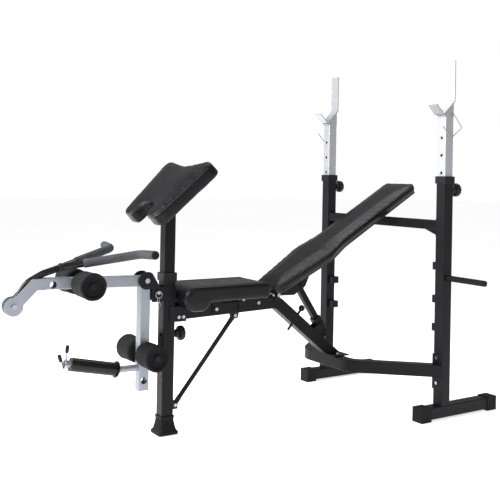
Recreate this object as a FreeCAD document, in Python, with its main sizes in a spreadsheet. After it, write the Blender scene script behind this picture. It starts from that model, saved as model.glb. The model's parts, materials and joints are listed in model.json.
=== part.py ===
import FreeCAD, Part
import math
import os

import Sketcher

# Adjustable weight bench with a leg developer, a preacher pad and a barbell rack.
# Frame: +Z up, +X from the front post towards the rack, -Y the bench's right side.
# Origin: centre of the front foot on the floor. Lengths in millimetres.

Vector = FreeCAD.Vector
doc = FreeCAD.newDocument("weight_bench")
sheet = doc.addObject("Spreadsheet::Sheet", "Sizes")

DRIVING = {
    # stock
    "tube_side": 50, "tube_wall": 2, "tube_corner": 4, "slide_gap": 0.5,
    "lever_side": 40, "bar_radius": 12.5, "plate_thick": 4, "pin_gap": 0.05, "run_gap": 0.3,
    "bolt_radius": 4, "pivot_radius": 6, "board_thick": 12,
    # front post, foot and collar
    "post_bottom": 6, "post_top": 618, "foot_base": 84, "foot_top": 56, "foot_height": 72,
    "collar_wall": 3.5, "collar_height": 31, "collar_lip": 5, "post_knob_height": 382,
    # main tube
    "main_front_height": 462, "main_bend_x": 509, "main_bend_height": 476, "main_bend_radius": 60,
    "flange_thick": 5, "flange_half_width": 78, "flange_bolt_y": 61,
    # lower crossbar
    "crossbar_x": 807, "crossbar_height": 203, "crossbar_half_straight": 146, "crossbar_bend_radius": 80,
    "end_plate_bottom": 123, "end_plate_top": 270, "end_bolt_low": 150, "end_bolt_high": 255,
    # rack
    "rack_x": 1103, "rack_half_width": 390, "upright_top": 1012, "rail_front": 965, "rail_rear": 1413,
    "rail_bottom": 7, "rail_cap_length": 55, "rail_cap_wall": 3, "upper_bar_height": 809.5,
    "upper_bar_side": 40, "rack_knob_height": 960, "peg_height": 590, "peg_length": 195,
    "rack_slider_bottom": 700, "rack_slider_top": 1268, "hole_pitch": 74, "hook_width": 50,
    "hook_thick": 5, "hook_rise": 240, "wire_radius": 2,
    # knobs
    "knob_radius": 29, "knob_thick": 24, "knob_neck_radius": 15, "knob_neck": 14,
    # seat and backrest
    "seat_front": 30, "seat_rear": 415, "seat_bottom": 512, "seat_top": 572, "seat_roll_bottom": 478,
    "seat_half_width": 108, "hinge_x": 505, "hinge_height": 507, "incline": 30,
    "back_start": -25.3, "back_end": 857.7, "back_underside": 12.5, "back_thick": 49,
    "slot_drop": 32.8, "slot_start": 112, "slot_end": 122, "slot_play": 0.8,
    # backrest strut
    "strut_foot_x": 746.8, "strut_foot_height": 360.6, "strut_head_x": 626, "strut_head_height": 539,
    "strut_side": 25, "sleeve_side": 35, "sleeve_below": 20, "sleeve_above": 40, "strut_below": 262,
    # leg developer
    "lever_x": -100, "lever_height": 598, "bracket_round": 33, "arm_length": 387, "leg_bottom": 180,
    "roller_radius": 50, "roller_inner": 27, "roller_outer": 137, "upper_roller_reach": 256,
    "lower_roller_height": 321, "fork_x": -602, "fork_height": 532, "fork_round": 33,
    "loader_height": 267, "loader_bend_x": -199, "loader_tilt": 12, "loader_length": 207,
    "sleeve_radius": 25, "weight_sleeve_length": 186,
    # curl bar
    "curl_apex_x": -429, "curl_apex_height": 661, "curl_bend_x": -179, "curl_bend_y": 136,
    "curl_bend_height": 711, "curl_end_x": -167, "curl_end_y": 229, "grip_radius": 16,
    "grip_start_y": 39,
    # preacher
    "preacher_bottom": 270, "preacher_tilt": 43.6, "preacher_low_x": -131, "preacher_low_height": 845,
    "preacher_length": 319, "preacher_thick": 56, "preacher_crown": 9, "preacher_low_half": 148,
    "preacher_top_half": 195,
}
for row, (alias, number) in enumerate(DRIVING.items(), start=1):
    sheet.set(f"A{row}", alias)
    sheet.set(f"B{row}", str(number))
    sheet.setAlias(f"B{row}", alias)
doc.recompute()


class Size:
    """A number of the model together with the sheet expression that gives it."""

    def __init__(self, value, text):
        self.value = value
        self.text = text

    def __float__(self):
        return float(self.value)

    def joined(self, other, sign, result):
        return Size(result, f"({self.text} {sign} {as_size(other).text})")

    def __add__(self, other):
        return self.joined(other, "+", self.value + float(other))

    def __radd__(self, other):
        return as_size(other) + self

    def __sub__(self, other):
        return self.joined(other, "-", self.value - float(other))

    def __rsub__(self, other):
        return as_size(other) - self

    def __mul__(self, other):
        return self.joined(other, "*", self.value * float(other))

    def __rmul__(self, other):
        return as_size(other) * self

    def __truediv__(self, other):
        return self.joined(other, "/", self.value / float(other))

    def __neg__(self):
        return as_size(0) - self


def as_size(number):
    if isinstance(number, Size):
        return number
    return Size(float(number), f"({float(number)})")


class Sizes:
    """The sheet's cells by name."""


s = Sizes()
for alias in DRIVING:
    setattr(s, alias, Size(float(sheet.get(alias)), f"Sizes.{alias}"))

# what follows from the driving sizes
half_tube = s.tube_side / 2
slider_side = s.tube_side - 2 * s.tube_wall - 2 * s.slide_gap
half_slider = slider_side / 2
half_lever = s.lever_side / 2
bore_radius = s.bar_radius + s.pin_gap
pivot_bore = s.pivot_radius + s.pin_gap
bolt_bore = s.bolt_radius + s.pin_gap
outer_plate = half_tube + s.plate_thick
crossbar_top = s.crossbar_height + half_tube
flange_top = crossbar_top + s.flange_thick
upright_bottom = s.rail_bottom + s.tube_side
nodes = []


# ---------------------------------------------------------------- helpers

def bind(obj, prop, size):
    """Ties one property to the sheet."""
    obj.setExpression(prop, as_size(size).text)


def put(obj, x=0, y=0, z=0, axis=(0, 0, 1), angle=0):
    """Places an object, bound to the sheet."""
    turn = FreeCAD.Rotation(Vector(*axis), float(angle))
    obj.Placement = FreeCAD.Placement(Vector(float(x), float(y), float(z)), turn)
    for letter, size in zip("xyz", (x, y, z)):
        bind(obj, f"Placement.Base.{letter}", size)
    if isinstance(angle, Size):
        bind(obj, "Placement.Rotation.Angle", angle)
    return obj


def node(obj, label):
    """Names a finished sub-part: the label is also its file name."""
    obj.Label = label
    nodes.append(obj)
    return obj


def block(name, x, y, z):
    """A box between the given low and high values on each axis."""
    box = doc.addObject("Part::Box", name)
    bind(box, "Length", x[1] - x[0])
    bind(box, "Width", y[1] - y[0])
    bind(box, "Height", z[1] - z[0])
    return put(box, x[0], y[0], z[0])


def cylinder(name, radius, length, x=0, y=0, z=0, along="z"):
    """A cylinder that starts at a point and runs along +X, +Y or +Z."""
    round_bar = doc.addObject("Part::Cylinder", name)
    bind(round_bar, "Radius", radius)
    bind(round_bar, "Height", length)
    axis, angle = {"x": ((0, 1, 0), 90), "y": ((1, 0, 0), -90), "z": ((0, 0, 1), 0)}[along]
    return put(round_bar, x, y, z, axis, angle)


def fuse(name, parts):
    joined = doc.addObject("Part::MultiFuse", name)
    joined.Shapes = parts
    joined.Refine = True
    return joined


def cut(name, base, tools):
    """Removes one or more tools from a base."""
    removed = doc.addObject("Part::Cut", name)
    removed.Base = base
    removed.Tool = tools[0] if len(tools) == 1 else fuse(name + "_tools", tools)
    return removed


def group(name, parts):
    """Separate solids that share one node."""
    together = doc.addObject("Part::Compound", name)
    together.Links = parts
    return together


def feature(name, shape, placement=FreeCAD.Placement()):
    """A form that neither a body nor a primitive gives, from sizes already read from the sheet."""
    form = doc.addObject("Part::Feature", name)
    form.Shape = shape
    form.Placement = placement
    return form


def origin_plane(body, role):
    return next(item for item in body.Origin.OriginFeatures if item.Role == role)


def polygon(body, name, role, points):
    """A closed outline sketch on one of the body's own planes, each corner tied to the sheet."""
    sketch = body.newObject("Sketcher::SketchObject", name)
    sketch.AttachmentSupport = (origin_plane(body, role), [""])
    sketch.MapMode = "FlatFace"
    corners = [Vector(float(x), float(y), 0) for x, y in points]
    count = len(corners)
    for index in range(count):
        line = Part.LineSegment(corners[index], corners[(index + 1) % count])
        sketch.addGeometry(line, False)
    for index in range(count):
        sketch.addConstraint(Sketcher.Constraint("Coincident", index, 2, (index + 1) % count, 1))
    for index, corner in enumerate(points):
        for kind, size in zip(("DistanceX", "DistanceY"), corner):
            number = sketch.addConstraint(
                Sketcher.Constraint(kind, -1, 1, index, 1, float(size)))
            bind(sketch, f"Constraints[{number}]", size)
    return sketch


def rectangle(body, name, role, width, height):
    """A rectangle centred on the plane's origin."""
    right = width / 2
    top = height / 2
    return polygon(body, name, role, [(-right, -top), (right, -top), (right, top), (-right, top)])


def round_edges(body, base, radius, wanted):
    """Rounds the edges of a feature that the wanted test picks."""
    doc.recompute()
    names = [f"Edge{number}" for number, edge in enumerate(base.Shape.Edges, start=1) if wanted(edge)]
    fillet = body.newObject("PartDesign::Fillet", base.Name + "_round")
    fillet.Base = (base, names)
    bind(fillet, "Radius", radius)
    return fillet


def square_tube(name, side, wall, corner, length):
    """A square tube along +Z, centred on its axis, starting at z = 0."""
    body = doc.addObject("PartDesign::Body", name)
    pad = body.newObject("PartDesign::Pad", name + "_pad")
    pad.Profile = rectangle(body, name + "_outline", "XY_Plane", side, side)
    bind(pad, "Length", length)
    upright = lambda edge: abs(edge.tangentAt(edge.FirstParameter).z) > 0.99
    rounded = round_edges(body, pad, corner, upright)
    doc.recompute()
    pocket = body.newObject("PartDesign::Pocket", name + "_bore")
    pocket.Profile = rectangle(body, name + "_inside", "XY_Plane", side - 2 * wall, side - 2 * wall)
    pocket.Type = 1
    pocket.Reversed = True
    doc.recompute()
    if pocket.Shape.Volume >= rounded.Shape.Volume:
        raise RuntimeError(name + ": the bore removed nothing")
    return body


def slab(name, outline, thick, rounds=(), role="XY_Plane", centred=False):
    """A flat piece from an outline, with (radius, corner numbers) pairs for its rounded corners."""
    body = doc.addObject("PartDesign::Body", name)
    pad = body.newObject("PartDesign::Pad", name + "_pad")
    pad.Profile = polygon(body, name + "_outline", role, outline)
    bind(pad, "Length", thick)
    pad.Midplane = centred
    last = pad
    for radius, corners in rounds:
        spots = [(float(outline[index][0]), float(outline[index][1])) for index in corners]

        def at_corner(edge, spots=spots):
            middle = edge.valueAt((edge.FirstParameter + edge.LastParameter) / 2)
            across = (middle.x, middle.y) if role == "XY_Plane" else (middle.x, middle.z)
            ends = [vertex.Point for vertex in edge.Vertexes]
            run = ends[-1] - ends[0]
            straight = abs(run.z if role == "XY_Plane" else run.y) > 0.99 * float(thick)
            return straight and any(math.dist(across, spot) < 0.01 for spot in spots)

        last = round_edges(body, last, radius, at_corner)
    return body


def rounded_path(points, radius):
    """Straight runs joined by tangent arcs."""
    edges = []
    last = points[0]
    for before, corner, after in zip(points, points[1:], points[2:]):
        inward = (corner - before).normalize()
        outward = (after - corner).normalize()
        turn = inward.getAngle(outward)
        reach = radius * math.tan(turn / 2)
        start = corner - inward * reach
        end = corner + outward * reach
        to_centre = (outward - inward).normalize()
        middle = corner + to_centre * (radius / math.cos(turn / 2) - radius)
        edges.append(Part.LineSegment(last, start).toShape())
        edges.append(Part.Arc(start, middle, end).toShape())
        last = end
    edges.append(Part.LineSegment(last, points[-1]).toShape())
    return Part.Wire(edges)


def pipe(points, bend, radius):
    """A round bar along a path."""
    path = rounded_path(points, bend)
    ring = Part.Wire([Part.makeCircle(radius, points[0], points[1] - points[0])])
    return path.makePipeShell([ring], True, False)


def rounded_square(side, corner, centre, across, up):
    """A square section with rounded corners, in the plane of two directions."""
    half = side / 2
    inner = half - corner
    slant = inner + corner * math.sqrt(0.5)
    edges = []
    for quarter in range(4):
        a, b = [(across, up), (up, -across), (-across, -up), (-up, across)][quarter]
        start = centre + a * half - b * inner
        end = centre + a * half + b * inner
        edges.append(Part.LineSegment(start, end).toShape())
        following = centre + a * inner + b * half
        edges.append(Part.Arc(end, centre + a * slant + b * slant, following).toShape())
    return Part.Wire(edges)


def bent_square(points, bend, side, corner, across):
    """A square bar along a flat path, with one pair of faces square to the across direction."""
    path = rounded_path(points, bend)
    run = (points[1] - points[0]).normalize()
    sweep = Part.BRepOffsetAPI.MakePipeShell(path)
    sweep.setBiNormalMode(across)
    sweep.add(rounded_square(side, corner, points[0], across, across.cross(run).normalize()))
    sweep.build()
    sweep.makeSolid()
    return sweep.shape()


def bent_square_tube(points, bend, side, wall, corner, across):
    outer = bent_square(points, bend, side, corner, across)
    inner = bent_square(points, bend, side - 2 * wall, corner - wall, across)
    return outer.cut(inner)


def half_space(point, normal):
    """A large block on the normal's side of a plane, for trimming tube ends."""
    reach = 4000
    big = Part.makeBox(reach, reach, reach, Vector(-reach / 2, -reach / 2, 0))
    big.Placement = FreeCAD.Placement(point, FreeCAD.Rotation(Vector(0, 0, 1), normal))
    return big


def hex_bolt(name, x, y, z, along, grip, nut=True):
    """A bolt whose head's underside is at the point; its grip runs along the axis to the nut."""
    shank_length = grip + 2 * s.bolt_radius if nut else grip
    shank = cylinder(name + "_shank", s.bolt_radius, shank_length, x, y, z, along)
    turns = {"x": ((0, 1, 0), 90), "y": ((1, 0, 0), -90), "z": ((0, 0, 1), 0)}[along]
    direction = {"x": (1, 0, 0), "y": (0, 1, 0), "z": (0, 0, 1)}[along]
    pieces = [shank]
    places = [(-1.3 * s.bolt_radius, 1.3 * s.bolt_radius)]
    if nut:
        places.append((grip, 1.6 * s.bolt_radius))
    for number, (offset, height) in enumerate(places):
        hexagon = doc.addObject("Part::Prism", f"{name}_hex{number}")
        hexagon.Polygon = 6
        bind(hexagon, "Circumradius", 1.85 * s.bolt_radius)
        bind(hexagon, "Height", height)
        spot = [base + step * offset for base, step in zip((x, y, z), direction)]
        put(hexagon, *spot, *turns)
        pieces.append(hexagon)
    return fuse(name, pieces)


SIDES = (("right", -1), ("left", 1))


# ---------------------------------------------------------------- front post

main_slope_end = Vector(float(s.crossbar_x) + 3, 0, float(flange_top))
main_bend = Vector(float(s.main_bend_x), 0, float(s.main_bend_height))
main_start = Vector(float(half_tube), 0, float(s.main_front_height))
main_run = (main_slope_end - main_bend).normalize()
main_normal = Vector(-main_run.z, 0, main_run.x)
ear_bolts = (half_tube + 13, half_tube + 33)
ear_bolt_height = s.main_front_height - 12
brace_foot = (half_tube + 16, 104)
brace_head = (309, s.main_front_height - half_tube - 4)
stop_height = s.lever_height - 47
stop_x = s.lever_x + 47


def post_hardware_holes():
    """Holes of the bolts that cross the post's ears and lugs, and of the knob's screw."""
    holes = []
    for number, x in enumerate(ear_bolts):
        holes.append(cylinder(f"ear_hole{number}", bolt_bore, 2 * outer_plate + 2,
                              x, -outer_plate - 1, ear_bolt_height, "y"))
    holes.append(cylinder("brace_foot_hole", bolt_bore, 40, brace_foot[0], -20, brace_foot[1], "y"))
    holes.append(cylinder("post_knob_hole", pivot_bore, 30, half_tube - 5, 0, s.post_knob_height, "x"))
    return holes


def knob_boss(name, x, y, z):
    """The welded nut that a clamp knob screws through."""
    return cylinder(name + "_ring", 2 * s.pivot_radius, s.knob_neck - 4, x, y, z, "x")


def front_post():
    post = square_tube("post_tube", s.tube_side, s.tube_wall, s.tube_corner, s.post_top - s.post_bottom)
    put(post, 0, 0, s.post_bottom)
    pieces = [post, knob_boss("post_boss", half_tube, 0, s.post_knob_height)]
    for side, sign in SIDES:
        inner = half_tube if sign > 0 else -outer_plate
        outer = outer_plate if sign > 0 else -half_tube
        pieces.append(block(f"ear_{side}", (0, half_tube + 47), (inner, outer),
                            (s.main_front_height - 30, s.main_front_height + 30)))
        low, high = (3, 7) if sign > 0 else (-7, -3)
        pieces.append(block(f"brace_lug_{side}", (half_tube, half_tube + 28), (low, high),
                            (brace_foot[1] - 16, brace_foot[1] + 16)))
    pieces.append(cylinder("post_front_stud", s.pivot_radius, 5, -half_tube - 5, 0, s.post_knob_height, "x"))
    return node(cut("front_post_cut", fuse("front_post_blank", pieces), post_hardware_holes()),
                "front_post")


def front_foot():
    half_base = s.foot_base / 2
    half_top = s.foot_top / 2
    sole = block("foot_sole", (-half_base, half_base), (-half_base, half_base), (0, 8))
    taper = doc.addObject("Part::Wedge", "foot_taper")
    for prop, size in (("Xmin", -half_base), ("Xmax", half_base), ("Zmin", -half_base),
                       ("Zmax", half_base), ("X2min", -half_top), ("X2max", half_top),
                       ("Z2min", -half_top), ("Z2max", half_top), ("Ymin", 8),
                       ("Ymax", s.foot_height - 8)):
        bind(taper, prop, size)
    put(taper, 0, 0, 0, (1, 0, 0), 90)
    rim = block("foot_rim", (-half_top, half_top), (-half_top, half_top),
                (s.foot_height - 8, s.foot_height))
    socket = block("foot_socket", (-half_tube, half_tube), (-half_tube, half_tube),
                   (s.post_bottom, s.foot_height + 1))
    return node(cut("foot_cut", fuse("foot_blank", [sole, taper, rim]), [socket]), "front_foot")


def collar(label, x, y, top):
    """A plastic guide on a tube's end, with a lip that steadies the slider."""
    half = half_tube + s.collar_wall
    skirt = s.collar_height - s.collar_lip
    opening = half_slider + s.run_gap
    shell = block(label + "_shell", (x - half, x + half), (y - half, y + half),
                  (top - skirt, top + s.collar_lip))
    over_tube = block(label + "_over", (x - half_tube, x + half_tube), (y - half_tube, y + half_tube),
                      (top - skirt - 1, top))
    over_slider = block(label + "_opening", (x - opening, x + opening), (y - opening, y + opening),
                        (top, top + s.collar_lip + 1))
    return node(cut(label + "_cut", shell, [over_tube, over_slider]), label)


def clamp_knob(label, x, y, z, tip):
    """A round clamp knob on a screw along +X, its tip just short of the slider."""
    neck_start = x + s.knob_neck - 4 + 1
    disc_start = x + 2 * s.knob_neck - 2
    screw = cylinder(label + "_screw", s.pivot_radius, disc_start - tip, tip, y, z, "x")
    neck = cylinder(label + "_neck", s.knob_neck_radius, disc_start - neck_start, neck_start, y, z, "x")
    disc = cylinder(label + "_disc", s.knob_radius, s.knob_thick, disc_start, y, z, "x")
    rounded = doc.addObject("Part::Fillet", label + "_rim")
    rounded.Base = disc
    rounded.Edges = [(1, 5, 5), (3, 5, 5)]
    return node(fuse(label + "_fused", [screw, neck, rounded]), label)


# ---------------------------------------------------------------- main tube

seat_bolts = ((207, s.main_front_height + 7), (408, s.main_bend_height + 5))
seat_spacer_bolt = (334, s.seat_bottom - 11.5)


def along_main(distance, rise):
    """A point beside the sloping run: distance past the bend, rise from the centre line."""
    return main_bend + main_run * distance + main_normal * rise


strut_foot = Vector(float(s.strut_foot_x), 0, float(s.strut_foot_height))
strut_head = Vector(float(s.strut_head_x), 0, float(s.strut_head_height))
strut_run = (strut_foot - strut_head).normalize()
strut_tilt = math.degrees(math.atan2(strut_run.x, -strut_run.z))


def drum(centre, radius, y_low, y_high):
    """A short cylinder across the bench."""
    return Part.makeCylinder(radius, y_high - y_low, Vector(centre.x, y_low, centre.z), Vector(0, 1, 0))


def sheet_plate(points, y_low, y_high):
    """A flat plate square to Y from (x, z) points."""
    corners = [Vector(x, y_low, z) for x, z in points]
    face = Part.Face(Part.makePolygon(corners + corners[:1]))
    return face.extrude(Vector(0, y_high - y_low, 0))


lock_pin_distance = 136.5


def main_tube():
    side = float(s.tube_side)
    half = side / 2
    beyond = main_slope_end + main_run * 80
    tube = bent_square_tube([main_start - Vector(5, 0, 0), main_bend, beyond], float(s.main_bend_radius), side,
                            float(s.tube_wall), float(s.tube_corner), Vector(0, 1, 0))
    tube = tube.cut(half_space(main_slope_end, Vector(0, 0, -1)))
    tube = tube.cut(half_space(main_start, Vector(-1, 0, 0)))
    tube = tube.fuse(flange())
    hinge = Vector(float(s.hinge_x), 0, float(s.hinge_height))
    plate = float(s.plate_thick)
    lug_round = float(s.back_underside) - 1.5
    sleeve_half = float(s.sleeve_side) / 2 + float(s.run_gap)
    foot_distance = (strut_foot - main_bend).dot(main_run)
    for sign in (-1, 1):
        low = min(sign * half, sign * (half + plate))
        foot = float(s.main_bend_height) + 5
        ear = sheet_plate([(hinge.x - 16, foot), (hinge.x + 16, foot - 4),
                           (hinge.x + lug_round, hinge.z), (hinge.x - lug_round, hinge.z)],
                          low, low + plate)
        tube = tube.fuse(ear.fuse(drum(hinge, lug_round, low, low + plate)))
        low = min(sign * sleeve_half, sign * (sleeve_half + plate))
        roots = [along_main(foot_distance - 24, half), along_main(foot_distance + 24, half),
                 strut_foot + main_run * 12, strut_foot - main_run * 12]
        lug = sheet_plate([(point.x, point.z) for point in roots], low, low + plate)
        tube = tube.fuse(lug.fuse(drum(strut_foot, 12, low, low + plate)))
        low = min(sign * 3, sign * 7)
        x, z = float(brace_head[0]), float(brace_head[1])
        root = z + 14
        lug = sheet_plate([(x - 20, root), (x + 20, root), (x + 14, z - 12), (x - 14, z - 12)],
                          low, low + 4)
        tube = tube.fuse(lug)
    tube = tube.cut(drum(hinge, float(pivot_bore), -60, 60))
    tube = tube.cut(drum(strut_foot, float(bolt_bore), -60, 60))
    tube = tube.cut(drum(Vector(float(brace_head[0]), 0, float(brace_head[1])), float(bolt_bore), -20, 20))
    for x in ear_bolts:
        tube = tube.cut(drum(Vector(float(x), 0, float(ear_bolt_height)), float(bolt_bore), -60, 60))
    for x, z in seat_bolts:
        tube = tube.cut(drum(Vector(float(x), 0, float(z)), float(bolt_bore), -60, 60))
    pin = along_main(lock_pin_distance, -60)
    tube = tube.cut(Part.makeCylinder(5 + float(s.pin_gap), 120, pin, main_normal))
    return node(feature("main_tube_form", tube.removeSplitter()), "main_tube")


def lock_pin():
    """The pull pin across the sloping run, with its ball knob above."""
    reach = float(half_tube)
    shaft = Part.makeCylinder(5, 2 * reach + 50, along_main(lock_pin_distance, -reach - 28), main_normal)
    ball = Part.makeSphere(13.5, along_main(lock_pin_distance, reach + 35))
    return node(feature("lock_pin_form", shaft.fuse(ball)), "frame_lock_pin")


def flange():
    """The foot plate that bolts the sloping run onto the lower crossbar."""
    half = float(s.flange_half_width)
    x = float(s.crossbar_x)
    plate = Part.makeBox(82, 2 * half, float(s.flange_thick), Vector(x - 32, -half, float(crossbar_top)))
    for side, sign in SIDES:
        plate = plate.cut(Part.makeCylinder(float(bolt_bore), 30,
                                            Vector(x, sign * float(s.flange_bolt_y), crossbar_top.value - 5)))
    return plate


def brace_strut():
    """A thin tube with flattened, drilled ends."""
    foot = Vector(float(brace_foot[0]), 0, float(brace_foot[1]))
    head = Vector(float(brace_head[0]), 0, float(brace_head[1]))
    run = head - foot
    length = run.Length
    tube = Part.makeCylinder(9, length - 70, Vector(35, 0, 0), Vector(1, 0, 0))
    for start in (-10, length - 40):
        flat = Part.makeBox(50, 5, 20, Vector(start, -2.5, -10))
        across = [edge for edge in flat.Edges if abs(edge.Length - 5) < 0.01]
        tube = tube.fuse(flat.makeFillet(8, across))
    for x in (0, length):
        tube = tube.cut(Part.makeCylinder(float(bolt_bore), 20, Vector(x, -10, 0), Vector(0, 1, 0)))
    set_in = FreeCAD.Placement(foot, FreeCAD.Rotation(Vector(1, 0, 0), run))
    return node(feature("brace_form", tube, set_in), "brace_strut")


# ---------------------------------------------------------------- crossbars and rack

upright_front = s.rack_x - half_tube
arm_end = upright_front - s.plate_thick


def lower_crossbar():
    """A tube with a straight middle and two arms that run back to the uprights."""
    height = float(s.crossbar_height)
    middle_x = float(s.crossbar_x)
    straight = float(s.crossbar_half_straight)
    wide = float(s.rack_half_width)
    end_x = float(arm_end)
    slope = (wide - straight) / (end_x - middle_x)
    past = 60
    points = [Vector(end_x + past, -wide - past * slope, height), Vector(middle_x, -straight, height),
              Vector(middle_x, straight, height), Vector(end_x + past, wide + past * slope, height)]
    bar = bent_square_tube(points, float(s.crossbar_bend_radius), float(s.tube_side),
                           float(s.tube_wall), float(s.tube_corner), Vector(0, 0, 1))
    bar = bar.cut(half_space(Vector(end_x, 0, 0), Vector(1, 0, 0)))
    for sign in (-1, 1):
        low = float(s.end_plate_bottom)
        plate = Part.makeBox(float(s.plate_thick), 54, float(s.end_plate_top) - low,
                             Vector(end_x, sign * wide - 27, low))
        bar = bar.fuse(plate)
        for height_of_bolt in (s.end_bolt_low, s.end_bolt_high):
            bar = bar.cut(Part.makeCylinder(float(bolt_bore), 20,
                                            Vector(end_x - 5, sign * wide, float(height_of_bolt)),
                                            Vector(1, 0, 0)))
        bar = bar.cut(Part.makeCylinder(float(bolt_bore), 80,
                                        Vector(middle_x, sign * float(s.flange_bolt_y), height - 40),
                                        Vector(0, 0, 1)))
    return node(feature("lower_crossbar_form", bar.removeSplitter()), "lower_crossbar")


def upper_crossbar():
    """The cross tube between the uprights, with its end plates and gussets."""
    side = float(s.upper_bar_side)
    inner = float(s.rack_half_width - half_tube)
    plate = float(s.plate_thick)
    x = float(s.rack_x)
    z = float(s.upper_bar_height)
    bar = bent_square_tube([Vector(x, -inner + plate, z), Vector(x, inner - plate, z)], 1, side,
                           float(s.tube_wall), float(s.tube_corner), Vector(0, 0, 1))
    for sign in (-1, 1):
        low = min(sign * inner, sign * (inner - plate))
        bar = bar.fuse(Part.makeBox(side, plate, side + 36, Vector(x - side / 2, low, z - side / 2 - 28)))
        near, far = sign * (inner - plate), sign * (inner - 88)
        corners = [Vector(x - 2, near, z - side / 2), Vector(x - 2, far, z - side / 2),
                   Vector(x - 2, near, z - side / 2 - 28)]
        gusset = Part.Face(Part.makePolygon(corners + corners[:1])).extrude(Vector(4, 0, 0))
        bar = bar.fuse(gusset)
        bar = bar.cut(Part.makeCylinder(float(bolt_bore), 20, Vector(x + 12, sign * inner - 10, z - 34),
                                        Vector(0, 1, 0)))
    return node(feature("upper_crossbar_form", bar.removeSplitter()), "upper_crossbar")


STUB_HEIGHTS = (376, 496, 636)


def upright(side, sign):
    """A rack post with its boss, plate stubs and bolt holes."""
    name = "upright_" + side
    y = sign * s.rack_half_width
    tube = square_tube(name + "_tube", s.tube_side, s.tube_wall, s.tube_corner,
                       s.upright_top - upright_bottom)
    put(tube, s.rack_x, y, upright_bottom)
    pieces = [tube, knob_boss(name, s.rack_x + half_tube, y, s.rack_knob_height)]
    inner = y - sign * half_tube
    stub_y = (inner - 27, inner) if sign > 0 else (inner, inner + 27)
    for number, z in enumerate(STUB_HEIGHTS):
        pieces.append(block(f"{name}_stub{number}", (s.rack_x - 11, s.rack_x + 27), stub_y, (z - 16, z + 16)))
    holes = [cylinder(name + "_knob_hole", pivot_bore, 20, s.rack_x + half_tube - 6, y,
                      s.rack_knob_height, "x")]
    for number, z in enumerate((s.end_bolt_low, s.end_bolt_high)):
        holes.append(cylinder(f"{name}_hole{number}", bolt_bore, s.tube_side + 2,
                              upright_front - 1, y, z, "x"))
    holes.append(cylinder(name + "_bar_hole", bolt_bore, 12, s.rack_x + 12, inner - 6,
                          s.upper_bar_height - 34, "y"))
    return node(cut(name + "_cut", fuse(name + "_blank", pieces), holes), name)


def base_rail(side, sign):
    inset = s.rail_cap_wall + 4
    tube = square_tube(f"rail_{side}_tube", s.tube_side, s.tube_wall, s.tube_corner,
                       s.rail_rear - s.rail_front - 2 * inset)
    put(tube, s.rail_front + inset, sign * s.rack_half_width, s.rail_bottom + half_tube, (0, 1, 0), 90)
    return node(tube, "base_rail_" + side)


def rail_caps(side, sign):
    """The rubber caps on both ends of one rail, which are also its feet."""
    y = sign * s.rack_half_width
    half = half_tube + s.rail_cap_wall
    inset = s.rail_cap_wall + 4
    caps = []
    for end, start, socket in (("front", s.rail_front, s.rail_front + inset),
                               ("rear", s.rail_rear - s.rail_cap_length,
                                s.rail_rear - s.rail_cap_length - inset)):
        shell = block(f"cap_{end}_{side}_shell", (start, start + s.rail_cap_length), (y - half, y + half),
                      (0, upright_bottom + s.rail_cap_wall))
        bore = block(f"cap_{end}_{side}_socket", (socket, socket + s.rail_cap_length),
                     (y - half_tube, y + half_tube), (s.rail_bottom, upright_bottom))
        caps.append(cut(f"cap_{end}_{side}", shell, [bore]))
    return node(group(f"rail_caps_{side}_group", caps), f"rail_caps_{side}")


def plate_peg(side, sign):
    """The bar beside a rack post that holds spare plates, with its end plug."""
    root = s.rack_half_width + half_tube
    tip = root + s.peg_length
    bar_start = root if sign > 0 else -tip
    plug_start = tip - 6 if sign > 0 else -tip - 6
    bar = cylinder(f"peg_{side}_bar", s.bar_radius, s.peg_length, s.rack_x, bar_start, s.peg_height, "y")
    plug = cylinder(f"peg_{side}_plug", s.bar_radius - 0.5, 12, s.rack_x, plug_start, s.peg_height, "y")
    return node(fuse(f"peg_{side}", [bar, plug]), f"plate_peg_{side}")


def rack_slider(side, sign):
    """The inner tube with its row of height holes."""
    name = "rack_slider_" + side
    y = sign * s.rack_half_width
    tube = square_tube(name + "_tube", slider_side, s.tube_wall, s.tube_corner - 1,
                       s.rack_slider_top - s.rack_slider_bottom)
    put(tube, s.rack_x, y, s.rack_slider_bottom)
    holes = []
    for number in range(7):
        height = s.rack_slider_bottom + 35 + number * s.hole_pitch
        holes.append(cylinder(f"{name}_hole{number}", 6.5, 10, s.rack_x - half_slider - 5, y, height, "x"))
    return node(cut(name + "_cut", tube, holes), name)


def rack_hook(side, sign):
    """The bar rest: a bent plate with a tall back, a valley and a lip, on two gussets."""
    name = "rack_hook_" + side
    y = sign * s.rack_half_width
    back = s.rack_x + half_slider + 2
    top = s.rack_slider_top
    valley = s.rack_x - 37
    lip = valley - 44
    thick = s.hook_thick
    outline = [
        (back, top + s.hook_rise), (back, top + 70.5), (valley + 1, top + 10), (lip + 3.5, top + 50),
        (lip, top + 46.5), (valley, top + 3), (back + thick, top + 68.5), (back + thick, top + s.hook_rise),
    ]
    plate = put(slab(name + "_plate", outline, s.hook_width, [(4, [2]), (9, [5])], "XZ_Plane", True),
                0, y, 0)
    pieces = [plate]
    web = [(valley + 6, top), (s.rack_x + half_slider, top), (s.rack_x + half_slider, top + 61),
           (valley + 6, top + 12)]
    for place, offset in (("near", -half_slider + 2), ("far", half_slider - 2)):
        pieces.append(put(slab(f"{name}_web_{place}", web, 4, (), "XZ_Plane", True), 0, y + offset, 0))
    pieces.append(block(name + "_base", (valley + 6, s.rack_x + half_slider),
                        (y - half_slider, y + half_slider), (top, top + 4)))
    hole = cylinder(name + "_wire_hole", s.wire_radius + s.pin_gap, slider_side + 2, wire_pivot_x,
                    y - half_slider - 1, wire_pivot_height, "y")
    return node(cut(name + "_cut", fuse(name + "_blank", pieces), [hole]), name)


wire_pivot_x = s.rack_x + 8
wire_pivot_height = s.rack_slider_top + 14


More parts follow.
